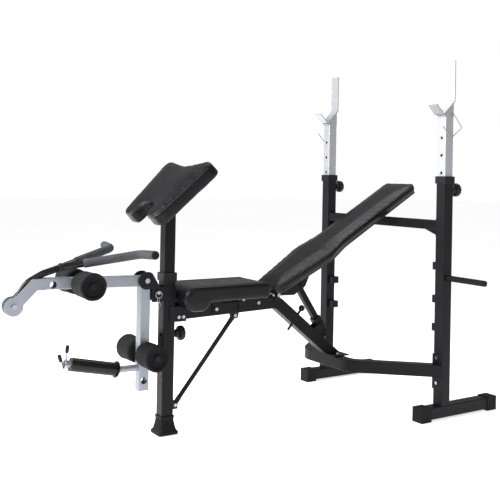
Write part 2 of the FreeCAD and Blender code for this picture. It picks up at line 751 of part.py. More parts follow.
def safety_wire(side, sign):
    """The wire clip that closes the bar rest, hinged in the hook's outer gusset."""
    x = float(wire_pivot_x)
    z = float(wire_pivot_height)
    centre = float(s.rack_half_width)
    inside = sign * (centre + float(half_slider) - 10)
    outside = sign * (centre + 34)
    points = [Vector(x, inside, z), Vector(x, outside, z), Vector(x + 53, outside, z - 58),
              Vector(x - 12, outside, z - 104), Vector(x - 58, outside, z - 58)]
    return node(feature(f"safety_wire_{side}_form", pipe(points, 7, float(s.wire_radius))),
                f"safety_wire_{side}")


# ---------------------------------------------------------------- seat

def seat():
    """The seat cushion with its rolled front edge, its board and the brackets under it."""
    outline = [(s.seat_front, s.seat_top), (s.seat_rear, s.seat_top), (s.seat_rear, s.seat_bottom),
               (s.seat_front + 112, s.seat_bottom), (s.seat_front + 88, s.seat_roll_bottom),
               (s.seat_front, s.seat_roll_bottom)]
    roll = (s.seat_top - s.seat_roll_bottom) / 2 - 1
    cushion = slab("seat_cushion", outline, 2 * s.seat_half_width,
                   [(roll, [0, 5]), (18, [1]), (22, [4]), (8, [2])], "XZ_Plane", True)
    put(cushion)
    inset = 14
    recess = block("seat_recess", (s.seat_front + 122, s.seat_rear - inset),
                   (-s.seat_half_width + inset, s.seat_half_width - inset),
                   (s.seat_bottom - 1, s.seat_bottom + s.board_thick))
    board = block("seat_board_box", (s.seat_front + 122, s.seat_rear - inset),
                  (-s.seat_half_width + inset, s.seat_half_width - inset),
                  (s.seat_bottom, s.seat_bottom + s.board_thick))
    channel = block("seat_channel", (s.seat_front - 1, s.seat_front + 122),
                    (-outer_plate - 3, outer_plate + 3),
                    (s.seat_roll_bottom - 1, s.main_front_height + half_tube + 8))
    node(cut("seat_pad_cut", cushion, [recess, channel]), "seat_pad")
    node(board, "seat_board")
    brackets = []
    for place, low, high in (("front", 190, 232), ("rear", 312, 424)):
        high_x = min(float(high), float(s.seat_rear) + 9)
        top = block(f"bracket_{place}_top", (low, high_x), (-60, 60),
                    (s.seat_bottom - s.plate_thick, s.seat_bottom))
        pieces = [top]
        for side, sign in SIDES:
            y = (half_tube, outer_plate) if sign > 0 else (-outer_plate, -half_tube)
            pieces.append(block(f"bracket_{place}_{side}", (low, high_x), y,
                                (s.main_front_height - 4, s.seat_bottom)))
        bolts = list(seat_bolts) + [seat_spacer_bolt]
        holes = [cylinder(f"bracket_{place}_hole{number}", bolt_bore, 80, x, -40, z, "y")
                 for number, (x, z) in enumerate(bolts)]
        brackets.append(cut(f"bracket_{place}", fuse(f"bracket_{place}_blank", pieces), holes))
    return node(group("seat_brackets_group", brackets), "seat_brackets")


# ---------------------------------------------------------------- backrest

def lean(obj, z=0):
    """Sets a piece drawn along the backrest onto its rest incline about the hinge."""
    return put(obj, s.hinge_x, 0, s.hinge_height, (0, 1, 0), -s.incline)


def backrest():
    """The back cushion, its board and the slotted bracket that the strut props."""
    start, end = s.back_start, s.back_end
    under, thick = s.back_underside, s.back_thick
    outline = [(start, -86), (start + 289, -130), (start + 395, -103), (end, -100),
               (end, 100), (start + 395, 103), (start + 289, 130), (start, 86)]
    body = slab("back_cushion", outline, thick, [(24, [0, 3, 4, 7]), (60, [1, 6]), (90, [2, 5])])
    base = body.Tip
    low_edge_round = 32
    low_edge = lambda edge: (abs(edge.BoundBox.XMin - float(start)) < 0.01
                             and edge.BoundBox.XLength < 0.01 and edge.BoundBox.ZMax < 0.01)
    round_edges(body, base, low_edge_round, low_edge)
    put(body, 0, 0, under)
    inset = 14
    board_start = start + 36
    board_outline = [(board_start, -72), (start + 289, -114), (start + 395, -88), (end - inset, -84),
                     (end - inset, 84), (start + 395, 88), (start + 289, 114), (board_start, 72)]
    recess = put(slab("back_recess", board_outline, s.board_thick + 1), 0, 0, under - 1)
    pad = cut("back_pad_cut", body, [recess])
    node(lean(pad), "backrest_pad")
    board = slab("back_board", board_outline, s.board_thick)
    carried = group("back_board_group", [put(board, 0, 0, under)])
    node(lean(carried), "backrest_board")

    plate = s.plate_thick
    pieces = [block("back_bracket_plate", (22, 330), (-42, 42), (under - plate, under))]
    slot_z = -s.slot_drop
    slot_half = s.pivot_radius - 1 + s.slot_play
    foot = slot_z - slot_half - 6
    leg = [(-10, under - plate), (-10, -10), (12, -10), (s.slot_start - 44, foot),
           (s.slot_end + 14, foot), (s.slot_end + 90, under - plate)]
    for side, sign in SIDES:
        web = slab(f"back_leg_{side}", leg, plate, [(9, [1]), (10, [3, 4])], "XZ_Plane", True)
        put(web, 0, sign * (outer_plate + 1 + plate / 2), 0)
        pieces.append(web)
    tools = [cylinder("back_hinge_hole", pivot_bore, 100, 0, -50, 0, "y"),
             block("back_slot_box", (s.slot_start, s.slot_end), (-50, 50),
                   (slot_z - slot_half, slot_z + slot_half))]
    for end_name, x in (("low", s.slot_start), ("high", s.slot_end)):
        tools.append(cylinder(f"back_slot_{end_name}", slot_half, 100, x, -50, slot_z, "y"))
    bracket = cut("back_bracket_cut", fuse("back_bracket_blank", pieces), tools)
    return node(lean(bracket), "backrest_bracket")


def hinge_pin():
    reach = outer_plate + 1 + s.plate_thick + 1
    pin = cylinder("hinge_pin_bar", s.pivot_radius, 2 * reach, s.hinge_x, -reach, s.hinge_height, "y")
    pieces = [pin]
    for side, y in (("right", -reach - 5), ("left", reach)):
        head = cylinder(f"hinge_head_{side}", s.pivot_radius + 2.2, 5, s.hinge_x, y, s.hinge_height, "y")
        pieces.append(head)
    return node(fuse("hinge_pin_fused", pieces), "backrest_hinge_pin")


# ---------------------------------------------------------------- strut

def strut():
    """The sleeve on its trunnions and the square rod that slides in it, drawn from the foot up."""
    side = s.strut_side
    half = side / 2
    bore = half + s.run_gap
    half_sleeve = s.sleeve_side / 2
    sleeve = block("sleeve_block", (-half_sleeve, half_sleeve), (-half_sleeve, half_sleeve),
                   (-s.sleeve_below, s.sleeve_above))
    bored = cut("sleeve_bored", sleeve, [block("sleeve_bore", (-bore, bore), (-bore, bore),
                                               (-s.sleeve_below - 1, s.sleeve_above + 1))])
    trunnion = half_sleeve + s.run_gap + s.plate_thick + 2
    studs = [cylinder("trunnion_right", s.bolt_radius, trunnion - half_sleeve, 0, -trunnion, 0, "y"),
             cylinder("trunnion_left", s.bolt_radius, trunnion - half_sleeve, 0, half_sleeve, 0, "y")]
    body = fuse("strut_sleeve_fused", [bored] + studs)
    turned = {"axis": (0, 1, 0), "angle": -strut_tilt}
    node(put(body, s.strut_foot_x, 0, s.strut_foot_height, **turned), "strut_sleeve")

    rod = block("strut_bar", (-half, half), (-half, half), (-s.strut_below, 14))
    reach = outer_plate + 1 + s.plate_thick + 1.5
    head = cylinder("strut_head_pin", s.pivot_radius - 1, 2 * reach, 0, -reach, 0, "y")
    heads = [cylinder("strut_head_right", s.pivot_radius + 5, 3, 0, -reach - 3, 0, "y"),
             cylinder("strut_head_left", s.pivot_radius + 5, 3, 0, reach, 0, "y")]
    rod_body = fuse("strut_rod_fused", [rod, head] + heads)
    node(put(rod_body, s.strut_head_x, 0, s.strut_head_height, **turned), "strut_rod")


# ---------------------------------------------------------------- leg developer

def lever_bracket():
    """The two cheek plates that carry the leg developer on the front post."""
    x, z, r = s.lever_x, s.lever_height, s.bracket_round
    outline = [(x - r, z + r), (x + 20, z + r), (x + 56, z - 27), (half_tube, z - 27),
               (half_tube, z - 83), (x + 22, z - 83), (x + 22, z - r), (x - r, z - r)]
    for side, sign in SIDES:
        plate = slab(f"cheek_{side}", outline, s.plate_thick,
                     [(r - 0.1, [0, 7]), (22, [1]), (6, [5]), (9, [2])], "XZ_Plane", True)
        put(plate, 0, sign * (half_tube + s.plate_thick / 2), 0)
        holes = [cylinder(f"cheek_{side}_pivot", pivot_bore, 20, x, sign * half_tube - 10, z, "y"),
                 cylinder(f"cheek_{side}_stop", s.pivot_radius - 1 + s.pin_gap, 20, stop_x,
                          sign * half_tube - 10, stop_height, "y")]
        node(cut(f"cheek_{side}_cut", plate, holes), "lever_bracket_" + side)


def pivot_bolt():
    bolt = hex_bolt_sized("lever_pivot", s.lever_x, s.lever_height, outer_plate, s.pivot_radius)
    return node(bolt, "lever_pivot_bolt")


def hex_bolt_sized(name, x, z, half_grip, radius):
    """A pivot bolt across the bench with a head on one side and a nut on the other."""
    tip = 4
    pieces = [cylinder(name + "_shank", radius, 2 * half_grip + 8 + tip, x, -half_grip, z, "y")]
    for end, y in (("head", -half_grip - 7), ("nut", half_grip)):
        hexagon = doc.addObject("Part::Prism", f"{name}_{end}")
        hexagon.Polygon = 6
        bind(hexagon, "Circumradius", 1.75 * radius)
        bind(hexagon, "Height", as_size(7))
        put(hexagon, x, y, z, (1, 0, 0), -90)
        pieces.append(hexagon)
    return fuse(name + "_bolt", pieces)


def hitch_pin():
    """The stop pin behind the lever, with its pull ring on the bench's right side."""
    radius = s.pivot_radius - 1
    length = 2 * outer_plate + 16
    pin = cylinder("hitch_bar", radius, length, stop_x, -outer_plate - 10, stop_height, "y")
    shoulder = cylinder("hitch_shoulder", radius + 2, 4, stop_x, -outer_plate - 10, stop_height, "y")
    ring = Part.makeTorus(13, 1.6, Vector(0, 0, 0), Vector(0, 1, 0))
    ring_feature = feature("hitch_ring", ring)
    put(ring_feature, stop_x, -outer_plate - 9, stop_height - 8)
    return node(fuse("hitch_pin_fused", [pin, shoulder, ring_feature]), "hitch_pin")


def leg_lever():
    """The L-shaped lever: a near-level arm, a leg below the pivot and the pivot hub."""
    side = s.lever_side
    x, z = s.lever_x, s.lever_height
    arm = square_tube("lever_arm", side, s.tube_wall, s.tube_corner - 1, s.arm_length + 22)
    put(arm, x + 22, 0, z - 3, (0, 1, 0), -88.5)
    leg = square_tube("lever_leg", side, s.tube_wall, s.tube_corner - 1, z - half_lever - s.leg_bottom)
    put(leg, x, 0, s.leg_bottom)
    hub_half = half_tube - s.run_gap
    hub = cylinder("lever_hub", 15, 2 * hub_half, x, -hub_half, z, "y")
    caps = [block("lever_leg_cap", (x - half_lever + 1, x + half_lever - 1),
                  (-half_lever + 1, half_lever - 1), (s.leg_bottom, s.leg_bottom + 3))]
    cross = 2 * half_lever + 4
    holes = [cylinder("lever_pivot_hole", pivot_bore, 70, x, -35, z, "y"),
             cylinder("arm_roller_hole", s.bar_radius, cross, x - s.upper_roller_reach, -half_lever - 2,
                      upper_roller_z, "y"),
             cylinder("leg_roller_hole", s.bar_radius, cross, x, -half_lever - 2,
                      s.lower_roller_height, "y"),
             cylinder("arm_spare_hole", s.bar_radius + 0.5, cross, x - 363, -half_lever - 2, z + 3, "y"),
             cylinder("leg_spare_hole", s.bar_radius + 0.5, cross, x, -half_lever - 2,
                      s.leg_bottom + 38, "y")]
    return node(cut("leg_lever_cut", fuse("leg_lever_blank", [arm, leg, hub] + caps), holes), "leg_lever")


upper_roller_z = s.lever_height + 3
fork_gap = 15.5


def lever_fork():
    """The fork on the arm's end that the curl bar hinges in."""
    end_x = float(s.lever_x) - float(s.arm_length) * math.cos(math.radians(1.5))
    mid = float(s.lever_height) + 7
    pivot = Vector(float(s.fork_x), 0, float(s.fork_height))
    plate = float(s.plate_thick)
    half = float(half_lever)
    slant = Vector(end_x - 45, 0, mid)
    run = (pivot - slant).normalize()
    across = Vector(run.z, 0, -run.x)
    if across.z < 0:
        across = across * -1
    upper = pivot + across * half
    lower = pivot - across * half
    outline = [(end_x - plate, mid - half), (end_x - plate, mid + half), (end_x - 52, mid + half),
               (upper.x, upper.z), (lower.x, lower.z), (end_x - 34, mid - half)]
    fork = Part.makeBox(plate, 2 * half, 2 * half, Vector(end_x - plate, -half, mid - half))
    tilt = FreeCAD.Placement(Vector(end_x, 0, mid), FreeCAD.Rotation(Vector(0, 1, 0), 1.5))
    fork.Placement = tilt.multiply(FreeCAD.Placement(Vector(-end_x, 0, -mid), FreeCAD.Rotation()))
    for low in (fork_gap, -fork_gap - plate):
        cheek = sheet_plate(outline, low, low + plate)
        fork = fork.fuse(cheek.fuse(drum(pivot, float(s.fork_round), low, low + plate)))
    fork = fork.cut(drum(pivot, float(pivot_bore), -60, 60))
    return node(feature("lever_fork_form", fork.removeSplitter()), "lever_fork")


def fork_bolt():
    bolt = hex_bolt_sized("fork_pivot", s.fork_x, s.fork_height, fork_gap + s.plate_thick, s.pivot_radius)
    return node(bolt, "curl_pivot_bolt")


def roller_bar(label, x, z):
    reach = s.roller_outer - 2
    return node(cylinder(label + "_bar", s.bar_radius, 2 * reach, x, -reach, z, "y"), label)


def foam_roller(label, x, z, sign):
    """A foam roller with a dished outer end, free to turn on its bar."""
    length = s.roller_outer - s.roller_inner
    start = s.roller_inner if sign > 0 else -s.roller_outer
    foam = cylinder(label + "_foam", s.roller_radius, length, x, start, z, "y")
    rounded = doc.addObject("Part::Fillet", label + "_rounded")
    rounded.Base = foam
    rounded.Edges = [(1, 6, 6), (3, 6, 6)]
    dish_depth = 9
    dish_start = s.roller_outer - dish_depth if sign > 0 else -s.roller_outer - 1
    dish = cylinder(label + "_dish", s.roller_radius - 12, dish_depth + 1, x, dish_start, z, "y")
    bore = cylinder(label + "_bore", bore_radius, length + 2, x, start - 1, z, "y")
    return node(cut(label + "_cut", rounded, [dish, bore]), label)


loader_start = Vector(float(s.lever_x - half_lever), 0, float(s.loader_height))
loader_bend = Vector(float(s.loader_bend_x), 0, float(s.loader_height))
loader_run = Vector(-math.cos(math.radians(float(s.loader_tilt))), 0,
                    math.sin(math.radians(float(s.loader_tilt))))


def loader():
    """The weight bar on the leg, its plate sleeve and the spring collar."""
    radius = float(s.bar_radius)
    end = loader_bend + loader_run * float(s.loader_length)
    node(feature("loader_bar_form", pipe([loader_start, loader_bend, end], 40, radius)), "loader_bar")
    bore = float(bore_radius + s.pin_gap / 2)
    start = loader_bend + loader_run * 6
    length = float(s.weight_sleeve_length)
    sleeve = Part.makeCylinder(float(s.sleeve_radius), length, start, loader_run)
    sleeve = sleeve.fuse(Part.makeCylinder(float(s.sleeve_radius) + 6, 5, start, loader_run))
    sleeve = sleeve.cut(Part.makeCylinder(bore, length + 2, start - loader_run, loader_run))
    node(feature("weight_sleeve_form", sleeve), "weight_sleeve")
    place = loader_bend + loader_run * (6 + length + float(s.run_gap))
    coil = Part.makeCylinder(radius + 7, 13, place, loader_run)
    coil = coil.cut(Part.makeCylinder(bore, 15, place - loader_run, loader_run))
    for offset, lean_back, length in ((3, -0.10, 56), (10, 0.34, 52)):
        up = (Vector(0, 0, 1) + Vector(-1, 0, 0) * lean_back).normalize()
        root = place + loader_run * offset + Vector(0, 0, radius + 4)
        coil = coil.fuse(Part.makeCylinder(2.5, length - 22, root, up))
        coil = coil.fuse(Part.makeCylinder(4.5, 22, root + up * (length - 24), up))
    node(feature("spring_collar_form", coil), "spring_collar")


# ---------------------------------------------------------------- curl bar

def curl_points(sign):
    apex = Vector(float(s.curl_apex_x), 0, float(s.curl_apex_height))
    bend = Vector(float(s.curl_bend_x), sign * float(s.curl_bend_y), float(s.curl_bend_height))
    end = Vector(float(s.curl_end_x), sign * float(s.curl_end_y), float(s.curl_bend_height) + 4)
    return apex, bend, end


def curl_bar():
    """The V-shaped arm curl bar on its hub, with foam grips and end plugs."""
    radius = float(s.bar_radius)
    pivot = Vector(float(s.fork_x), 0, float(s.fork_height))
    apex = Vector(float(s.curl_apex_x), 0, float(s.curl_apex_height))
    stem = [pivot + Vector(9, 0, 18), pivot + Vector(49, 0, 79), pivot + Vector(106, 0, 109), apex]
    hub_half = fork_gap - float(s.run_gap)
    bar = drum(pivot, 20, -hub_half, hub_half).fuse(pipe(stem, 70, radius))
    joint = Part.makeSphere(radius + 3, apex)
    grips = []
    plugs = []
    for side, sign in SIDES:
        start, bend, end = curl_points(sign)
        joint = joint.fuse(pipe([start, bend, end], 40, radius))
        share = float(s.grip_start_y) / float(s.curl_bend_y)
        grip_start = start + (bend - start) * share
        foam = pipe([grip_start, bend, end], 40, float(s.grip_radius))
        grips.append((side, foam.cut(pipe([start, bend, end], 40, radius))))
        out = (end - bend).normalize()
        plugs.append(Part.makeCylinder(float(s.grip_radius) - 1, 4, end, out))
    bar = joint.fuse(bar).cut(drum(pivot, float(pivot_bore), -40, 40))
    node(feature("curl_bar_form", bar), "curl_bar")
    for side, foam in grips:
        node(feature(f"curl_grip_{side}_form", foam), f"curl_grip_{side}")
    return node(feature("curl_plugs_form", Part.makeCompound(plugs)), "curl_end_plugs")


# ---------------------------------------------------------------- preacher pad

def preacher():
    """The slider in the front post, the pad that slopes on it and the pad's board."""
    low_half, top_half = s.preacher_low_half, s.preacher_top_half
    length = s.preacher_length
    outline = [(0, -low_half), (length, -top_half), (length - 40, 0), (length, top_half), (0, low_half),
               (0, 57), (74, 50), (74, -50), (0, -57)]
    thick = s.preacher_thick + s.preacher_crown
    pad = slab("preacher_cushion", outline, thick,
               [(38, [0, 4]), (34, [1, 3]), (200, [2]), (14, [5, 8]), (38, [6, 7])])
    put(pad, 0, 0, -s.preacher_thick)
    inset = 16
    board_outline = [(88, -140), (length - 44, -150), (length - 60, 0), (length - 44, 150), (88, 140)]
    recess = put(slab("preacher_recess", board_outline, s.board_thick + 1), 0, 0, -s.preacher_thick - 1)
    board = put(slab("preacher_board_slab", board_outline, s.board_thick), 0, 0, -s.preacher_thick)
    tilt = ((0, 1, 0), -s.preacher_tilt)
    node(put(cut("preacher_pad_cut", pad, [recess]), s.preacher_low_x, 0, s.preacher_low_height, *tilt),
         "preacher_pad")
    node(put(group("preacher_board_group", [board]), s.preacher_low_x, 0, s.preacher_low_height, *tilt),
         "preacher_board")

    angle = math.radians(float(s.preacher_tilt))
    uphill = Vector(math.cos(angle), 0, math.sin(angle))
    normal = Vector(-math.sin(angle), 0, math.cos(angle))
    low_edge = Vector(float(s.preacher_low_x), 0, float(s.preacher_low_height))
    underside = low_edge - normal * float(s.preacher_thick)
    reach = (0 - underside.x) / uphill.x
    at_post = underside + uphill * reach
    side = float(slider_side)
    bottom = float(s.preacher_bottom)
    tube = bent_square_tube([Vector(0, 0, bottom), Vector(0, 0, at_post.z + 60)], 1, side,
                            float(s.tube_wall), float(s.tube_corner) - 1, Vector(0, 1, 0))
    plate_bottom = at_post - normal * float(s.plate_thick)
    tube = tube.cut(half_space(plate_bottom, normal))
    plate = Part.makeBox(170, 110, float(s.plate_thick))
    plate.Placement = FreeCAD.Placement(plate_bottom - uphill * 85 - Vector(0, 55, 0),
                                        FreeCAD.Rotation(Vector(0, 1, 0), -float(s.preacher_tilt)))
    return node(feature("preacher_post_form", tube.fuse(plate).removeSplitter()), "preacher_post")


# ---------------------------------------------------------------- fasteners

def frame_bolts():
    """Every plain bolt of the frame, with its nut."""
    bolts = []
    cross = 2 * outer_plate
    for number, x in enumerate(ear_bolts):
        bolts.append(hex_bolt(f"ear_bolt{number}", x, -outer_plate, ear_bolt_height, "y", cross))
    for number, (x, z) in enumerate(list(seat_bolts) + [seat_spacer_bolt]):
        bolts.append(hex_bolt(f"seat_bolt{number}", x, -outer_plate, z, "y", cross))
    for number, (x, z) in enumerate((brace_foot, brace_head)):
        bolts.append(hex_bolt(f"brace_bolt{number}", x, -7, z, "y", 14))
    for side, sign in SIDES:
        y = sign * s.rack_half_width
        for number, z in enumerate((s.end_bolt_low, s.end_bolt_high)):
            bolts.append(hex_bolt(f"rack_bolt{number}_{side}", arm_end, y, z, "x",
                                  s.plate_thick + s.tube_side))
        bolts.append(hex_bolt(f"flange_bolt_{side}", s.crossbar_x, sign * s.flange_bolt_y,
                              s.crossbar_height - half_tube, "z", s.tube_side + s.flange_thick))
    return node(group("frame_bolts_group", bolts), "frame_bolts")


# ---------------------------------------------------------------- the whole bench

front_post()
front_foot()
collar("post_collar", as_size(0), as_size(0), s.post_top)
clamp_knob("post_knob", half_tube, 0, s.post_knob_height, half_slider + s.run_gap)
main_tube()
lock_pin()
brace_strut()
lower_crossbar()
upper_crossbar()
for rack_side, rack_sign in SIDES:
    rack_y = rack_sign * s.rack_half_width
    upright(rack_side, rack_sign)
    collar("upright_collar_" + rack_side, s.rack_x, rack_y, s.upright_top)
    clamp_knob("rack_knob_" + rack_side, s.rack_x + half_tube, rack_y, s.rack_knob_height,
               s.rack_x + half_slider + s.run_gap)
    base_rail(rack_side, rack_sign)
    rail_caps(rack_side, rack_sign)
    plate_peg(rack_side, rack_sign)
    rack_slider(rack_side, rack_sign)
    rack_hook(rack_side, rack_sign)
    safety_wire(rack_side, rack_sign)
seat()
backrest()
hinge_pin()
strut()
lever_bracket()
pivot_bolt()
hitch_pin()
leg_lever()
lever_fork()
fork_bolt()
roller_places = (("upper", s.lever_x - s.upper_roller_reach, upper_roller_z),
                 ("lower", s.lever_x, s.lower_roller_height))
for level, roller_x, roller_z in roller_places:
    roller_bar(f"roller_bar_{level}", roller_x, roller_z)
    for roller_side, roller_sign in SIDES:
        foam_roller(f"foam_roller_{level}_{roller_side}", roller_x, roller_z, roller_sign)
loader()
curl_bar()
preacher()
frame_bolts()

doc.recompute()
for obj in doc.Objects:
    if "Invalid" in obj.State or "Error" in obj.State:
        raise RuntimeError(f"{obj.Label} failed: {obj.State}")
for sub_part in nodes:
    if sub_part.Shape.isNull() or not sub_part.Shape.isValid() or not sub_part.Shape.Solids:
        raise RuntimeError(f"{sub_part.Label} has no valid solid")
os.makedirs("parts", exist_ok=True)
for sub_part in nodes:
    sub_part.Shape.exportStep(f"parts/{sub_part.Label}.step")
    print(sub_part.Label, len(sub_part.Shape.Solids), round(sub_part.Shape.Volume))
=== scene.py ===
"""Looks of an adjustable weight bench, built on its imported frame."""

import json
import math

import bmesh
import bpy
from mathutils import Matrix, Vector


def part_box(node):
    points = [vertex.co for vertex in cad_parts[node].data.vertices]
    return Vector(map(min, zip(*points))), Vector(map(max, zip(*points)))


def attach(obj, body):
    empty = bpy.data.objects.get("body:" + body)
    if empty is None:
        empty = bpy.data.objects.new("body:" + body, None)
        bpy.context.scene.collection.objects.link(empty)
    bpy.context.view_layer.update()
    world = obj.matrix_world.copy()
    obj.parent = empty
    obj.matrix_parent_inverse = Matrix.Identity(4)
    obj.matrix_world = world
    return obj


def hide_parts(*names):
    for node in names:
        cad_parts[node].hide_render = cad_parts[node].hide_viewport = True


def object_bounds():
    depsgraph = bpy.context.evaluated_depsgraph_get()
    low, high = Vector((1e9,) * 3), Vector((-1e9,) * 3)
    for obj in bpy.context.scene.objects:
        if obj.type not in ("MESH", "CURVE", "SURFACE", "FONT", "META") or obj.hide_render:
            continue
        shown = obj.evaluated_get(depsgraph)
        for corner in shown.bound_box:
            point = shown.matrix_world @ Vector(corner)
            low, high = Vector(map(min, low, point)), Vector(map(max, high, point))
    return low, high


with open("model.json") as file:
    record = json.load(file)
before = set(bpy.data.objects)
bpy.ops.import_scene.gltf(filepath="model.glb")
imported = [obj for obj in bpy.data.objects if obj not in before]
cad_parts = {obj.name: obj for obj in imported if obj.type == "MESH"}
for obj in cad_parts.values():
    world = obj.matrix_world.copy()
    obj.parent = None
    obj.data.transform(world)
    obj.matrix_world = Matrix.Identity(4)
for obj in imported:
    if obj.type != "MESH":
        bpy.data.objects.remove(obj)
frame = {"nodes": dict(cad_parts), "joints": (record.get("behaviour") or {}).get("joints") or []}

bl_info = {
    "name": "Weight Bench Builder",
    "version": (1, 0, 0),
    "blender": (4, 5, 0),
    "location": "View3D > Sidebar > Bench",
    "description": "Builds the cushions, rollers, finishes and studio of a weight bench",
    "category": "Object",
}

CAD_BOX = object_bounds()
NODES = frame["nodes"]
SIDES = ("left", "right")


# ---------------------------------------------------------------- sizes and colours

class BenchCushions(bpy.types.PropertyGroup):
    """Sizes of the upholstery."""

    crown: bpy.props.FloatProperty(
        name="Crown", description="How far a cushion swells over its foam", default=0.010,
        min=0.0, max=0.03, unit="LENGTH")
    piping: bpy.props.FloatProperty(
        name="Piping radius", description="Radius of the welt sewn along a seam", default=0.0016,
        min=0.0005, max=0.005, unit="LENGTH")
    pucker: bpy.props.FloatProperty(
        name="Pucker", description="Depth of the small folds beside a seam", default=0.0012,
        min=0.0, max=0.005, unit="LENGTH")


class BenchColours(bpy.types.PropertyGroup):
    """Base colours of the finishes."""

    vinyl: bpy.props.FloatVectorProperty(
        name="Vinyl", description="Colour of the upholstery", default=(0.0040, 0.0040, 0.0050),
        subtype="COLOR", min=0.0, max=1.0)
    powder: bpy.props.FloatVectorProperty(
        name="Powder coat", description="Colour of the frame tubes", default=(0.0050, 0.0050, 0.0058),
        subtype="COLOR", min=0.0, max=1.0)
    silver: bpy.props.FloatVectorProperty(
        name="Silver coat", description="Colour of the leg lever", default=(0.26, 0.28, 0.32),
        subtype="COLOR", min=0.0, max=1.0)
    bright: bpy.props.FloatVectorProperty(
        name="Bright coat", description="Colour of the rack sliders and bar rests",
        default=(0.40, 0.41, 0.43), subtype="COLOR", min=0.0, max=1.0)
    foam: bpy.props.FloatVectorProperty(
        name="Foam", description="Colour of the rollers", default=(0.0085, 0.0085, 0.0095),
        subtype="COLOR", min=0.0, max=1.0)
    grip: bpy.props.FloatVectorProperty(
        name="Grip", description="Colour of the curl bar's grips", default=(0.060, 0.063, 0.070),
        subtype="COLOR", min=0.0, max=1.0)


class BenchStudio(bpy.types.PropertyGroup):
    """Camera place, aim and lens."""

    camera_place: bpy.props.FloatVectorProperty(
        name="Camera place", description="Where the camera stands", default=(-1.468, -2.848, 0.997),
        subtype="TRANSLATION", unit="LENGTH")
    camera_turn: bpy.props.FloatProperty(
        name="Camera turn", description="Heading from +Y towards +X", default=math.radians(32.9),
        unit="ROTATION")
    camera_pitch: bpy.props.FloatProperty(
        name="Camera pitch", description="Tilt above level", default=math.radians(0.42),
        unit="ROTATION")
    camera_roll: bpy.props.FloatProperty(
        name="Camera roll", description="Roll about the view", default=math.radians(1.06),
        unit="ROTATION")
    focal: bpy.props.FloatProperty(
        name="Focal length", description="Lens on a 36 mm sensor", default=59.0, min=10.0, max=200.0)
    rise: bpy.props.FloatProperty(
        name="Rise", description="Vertical shift of the lens", default=-0.157)


# ---------------------------------------------------------------- node helpers

class Shader:
    """A material under construction."""

    def __init__(self, name):
        self.material = bpy.data.materials.new(name)
        self.material.use_nodes = True
        self.tree = self.material.node_tree
        self.surface = self.tree.nodes["Principled BSDF"]
        self.place = self.add("ShaderNodeTexCoord").outputs["Object"]

    def add(self, kind, **settings):
        node = self.tree.nodes.new(kind)
        for key, value in settings.items():
            setattr(node, key, value)
        return node

    def link(self, source, target):
        self.tree.links.new(source, target)

    def noise(self, scale, detail=4.0, rough=0.5, stretch=None):
        texture = self.add("ShaderNodeTexNoise")
        texture.inputs["Scale"].default_value = scale
        texture.inputs["Detail"].default_value = detail
        texture.inputs["Roughness"].default_value = rough
        place = self.place
        if stretch:
            mapping = self.add("ShaderNodeMapping")
            mapping.inputs["Scale"].default_value = stretch
            self.link(place, mapping.inputs["Vector"])
            place = mapping.outputs["Vector"]
        self.link(place, texture.inputs["Vector"])
        return texture.outputs["Fac"]

    def cells(self, scale, feature="F1"):
        texture = self.add("ShaderNodeTexVoronoi", feature=feature)
        texture.inputs["Scale"].default_value = scale
        self.link(self.place, texture.inputs["Vector"])
        return texture.outputs["Distance"]

    def spread(self, source, low, high, start=0.3, end=0.7):
        """Maps a texture to a range of values."""
        ranged = self.add("ShaderNodeMapRange")
        for key, value in (("From Min", start), ("From Max", end), ("To Min", low), ("To Max", high)):
            ranged.inputs[key].default_value = value
        self.link(source, ranged.inputs["Value"])
        return ranged.outputs["Result"]

    def tint(self, source, dark, light, start=0.35, end=0.65):
        ramp = self.add("ShaderNodeValToRGB")
        ramp.color_ramp.elements[0].position = start
        ramp.color_ramp.elements[0].color = (*dark, 1.0)
        ramp.color_ramp.elements[1].position = end
        ramp.color_ramp.elements[1].color = (*light, 1.0)
        self.link(source, ramp.inputs["Fac"])
        return ramp.outputs["Color"]

    def edges(self, strength):
        """How worn a place is: bright on sharp outer edges."""
        pointed = self.add("ShaderNodeNewGeometry").outputs["Pointiness"]
        return self.spread(pointed, 0.0, strength, 0.52, 0.60)

    def mix(self, factor, first, second):
        blend = self.add("ShaderNodeMix", data_type="RGBA")
        factor_in, first_in, second_in, colour_out = 0, 6, 7, 2
        self.link(factor, blend.inputs[factor_in])
        self.link(first, blend.inputs[first_in])
        blend.inputs[second_in].default_value = (*second, 1.0)
        return blend.outputs[colour_out]

    def bump(self, *layers):
        """Adds bumps, each a (height, depth in metres, strength) layer."""
        normal = None
        for height, depth, strength in layers:
            node = self.add("ShaderNodeBump")
            node.inputs["Strength"].default_value = strength
            node.inputs["Distance"].default_value = depth
            self.link(height, node.inputs["Height"])
            if normal:
                self.link(normal, node.inputs["Normal"])
            normal = node.outputs["Normal"]
        self.link(normal, self.surface.inputs["Normal"])

    def set(self, **values):
        for key, value in values.items():
            self.surface.inputs[key.replace("_", " ")].default_value = value


def lighter(colour, factor):
    return tuple(min(1.0, channel * factor) for channel in colour)


# ---------------------------------------------------------------- finishes

def powder_coat(name, colour, shine):
    """Powder coat: a fine orange peel, slightly worn on the edges."""
    shader = Shader(name)
    cloud = shader.noise(7.0, 3.0)
    base = shader.tint(cloud, lighter(colour, 0.86), lighter(colour, 1.16))
    worn = shader.mix(shader.edges(0.35), base, lighter(colour, 3.2))
    shader.link(worn, shader.surface.inputs["Base Color"])
    shader.link(shader.spread(shader.noise(60.0, 5.0), shine - 0.05, shine + 0.09),
                shader.surface.inputs["Roughness"])
    shader.set(Specular_IOR_Level=0.14)
    shader.bump((shader.noise(900.0, 2.0), 0.0002, 0.25), (shader.noise(160.0, 3.0), 0.0003, 0.12))
    return shader.material


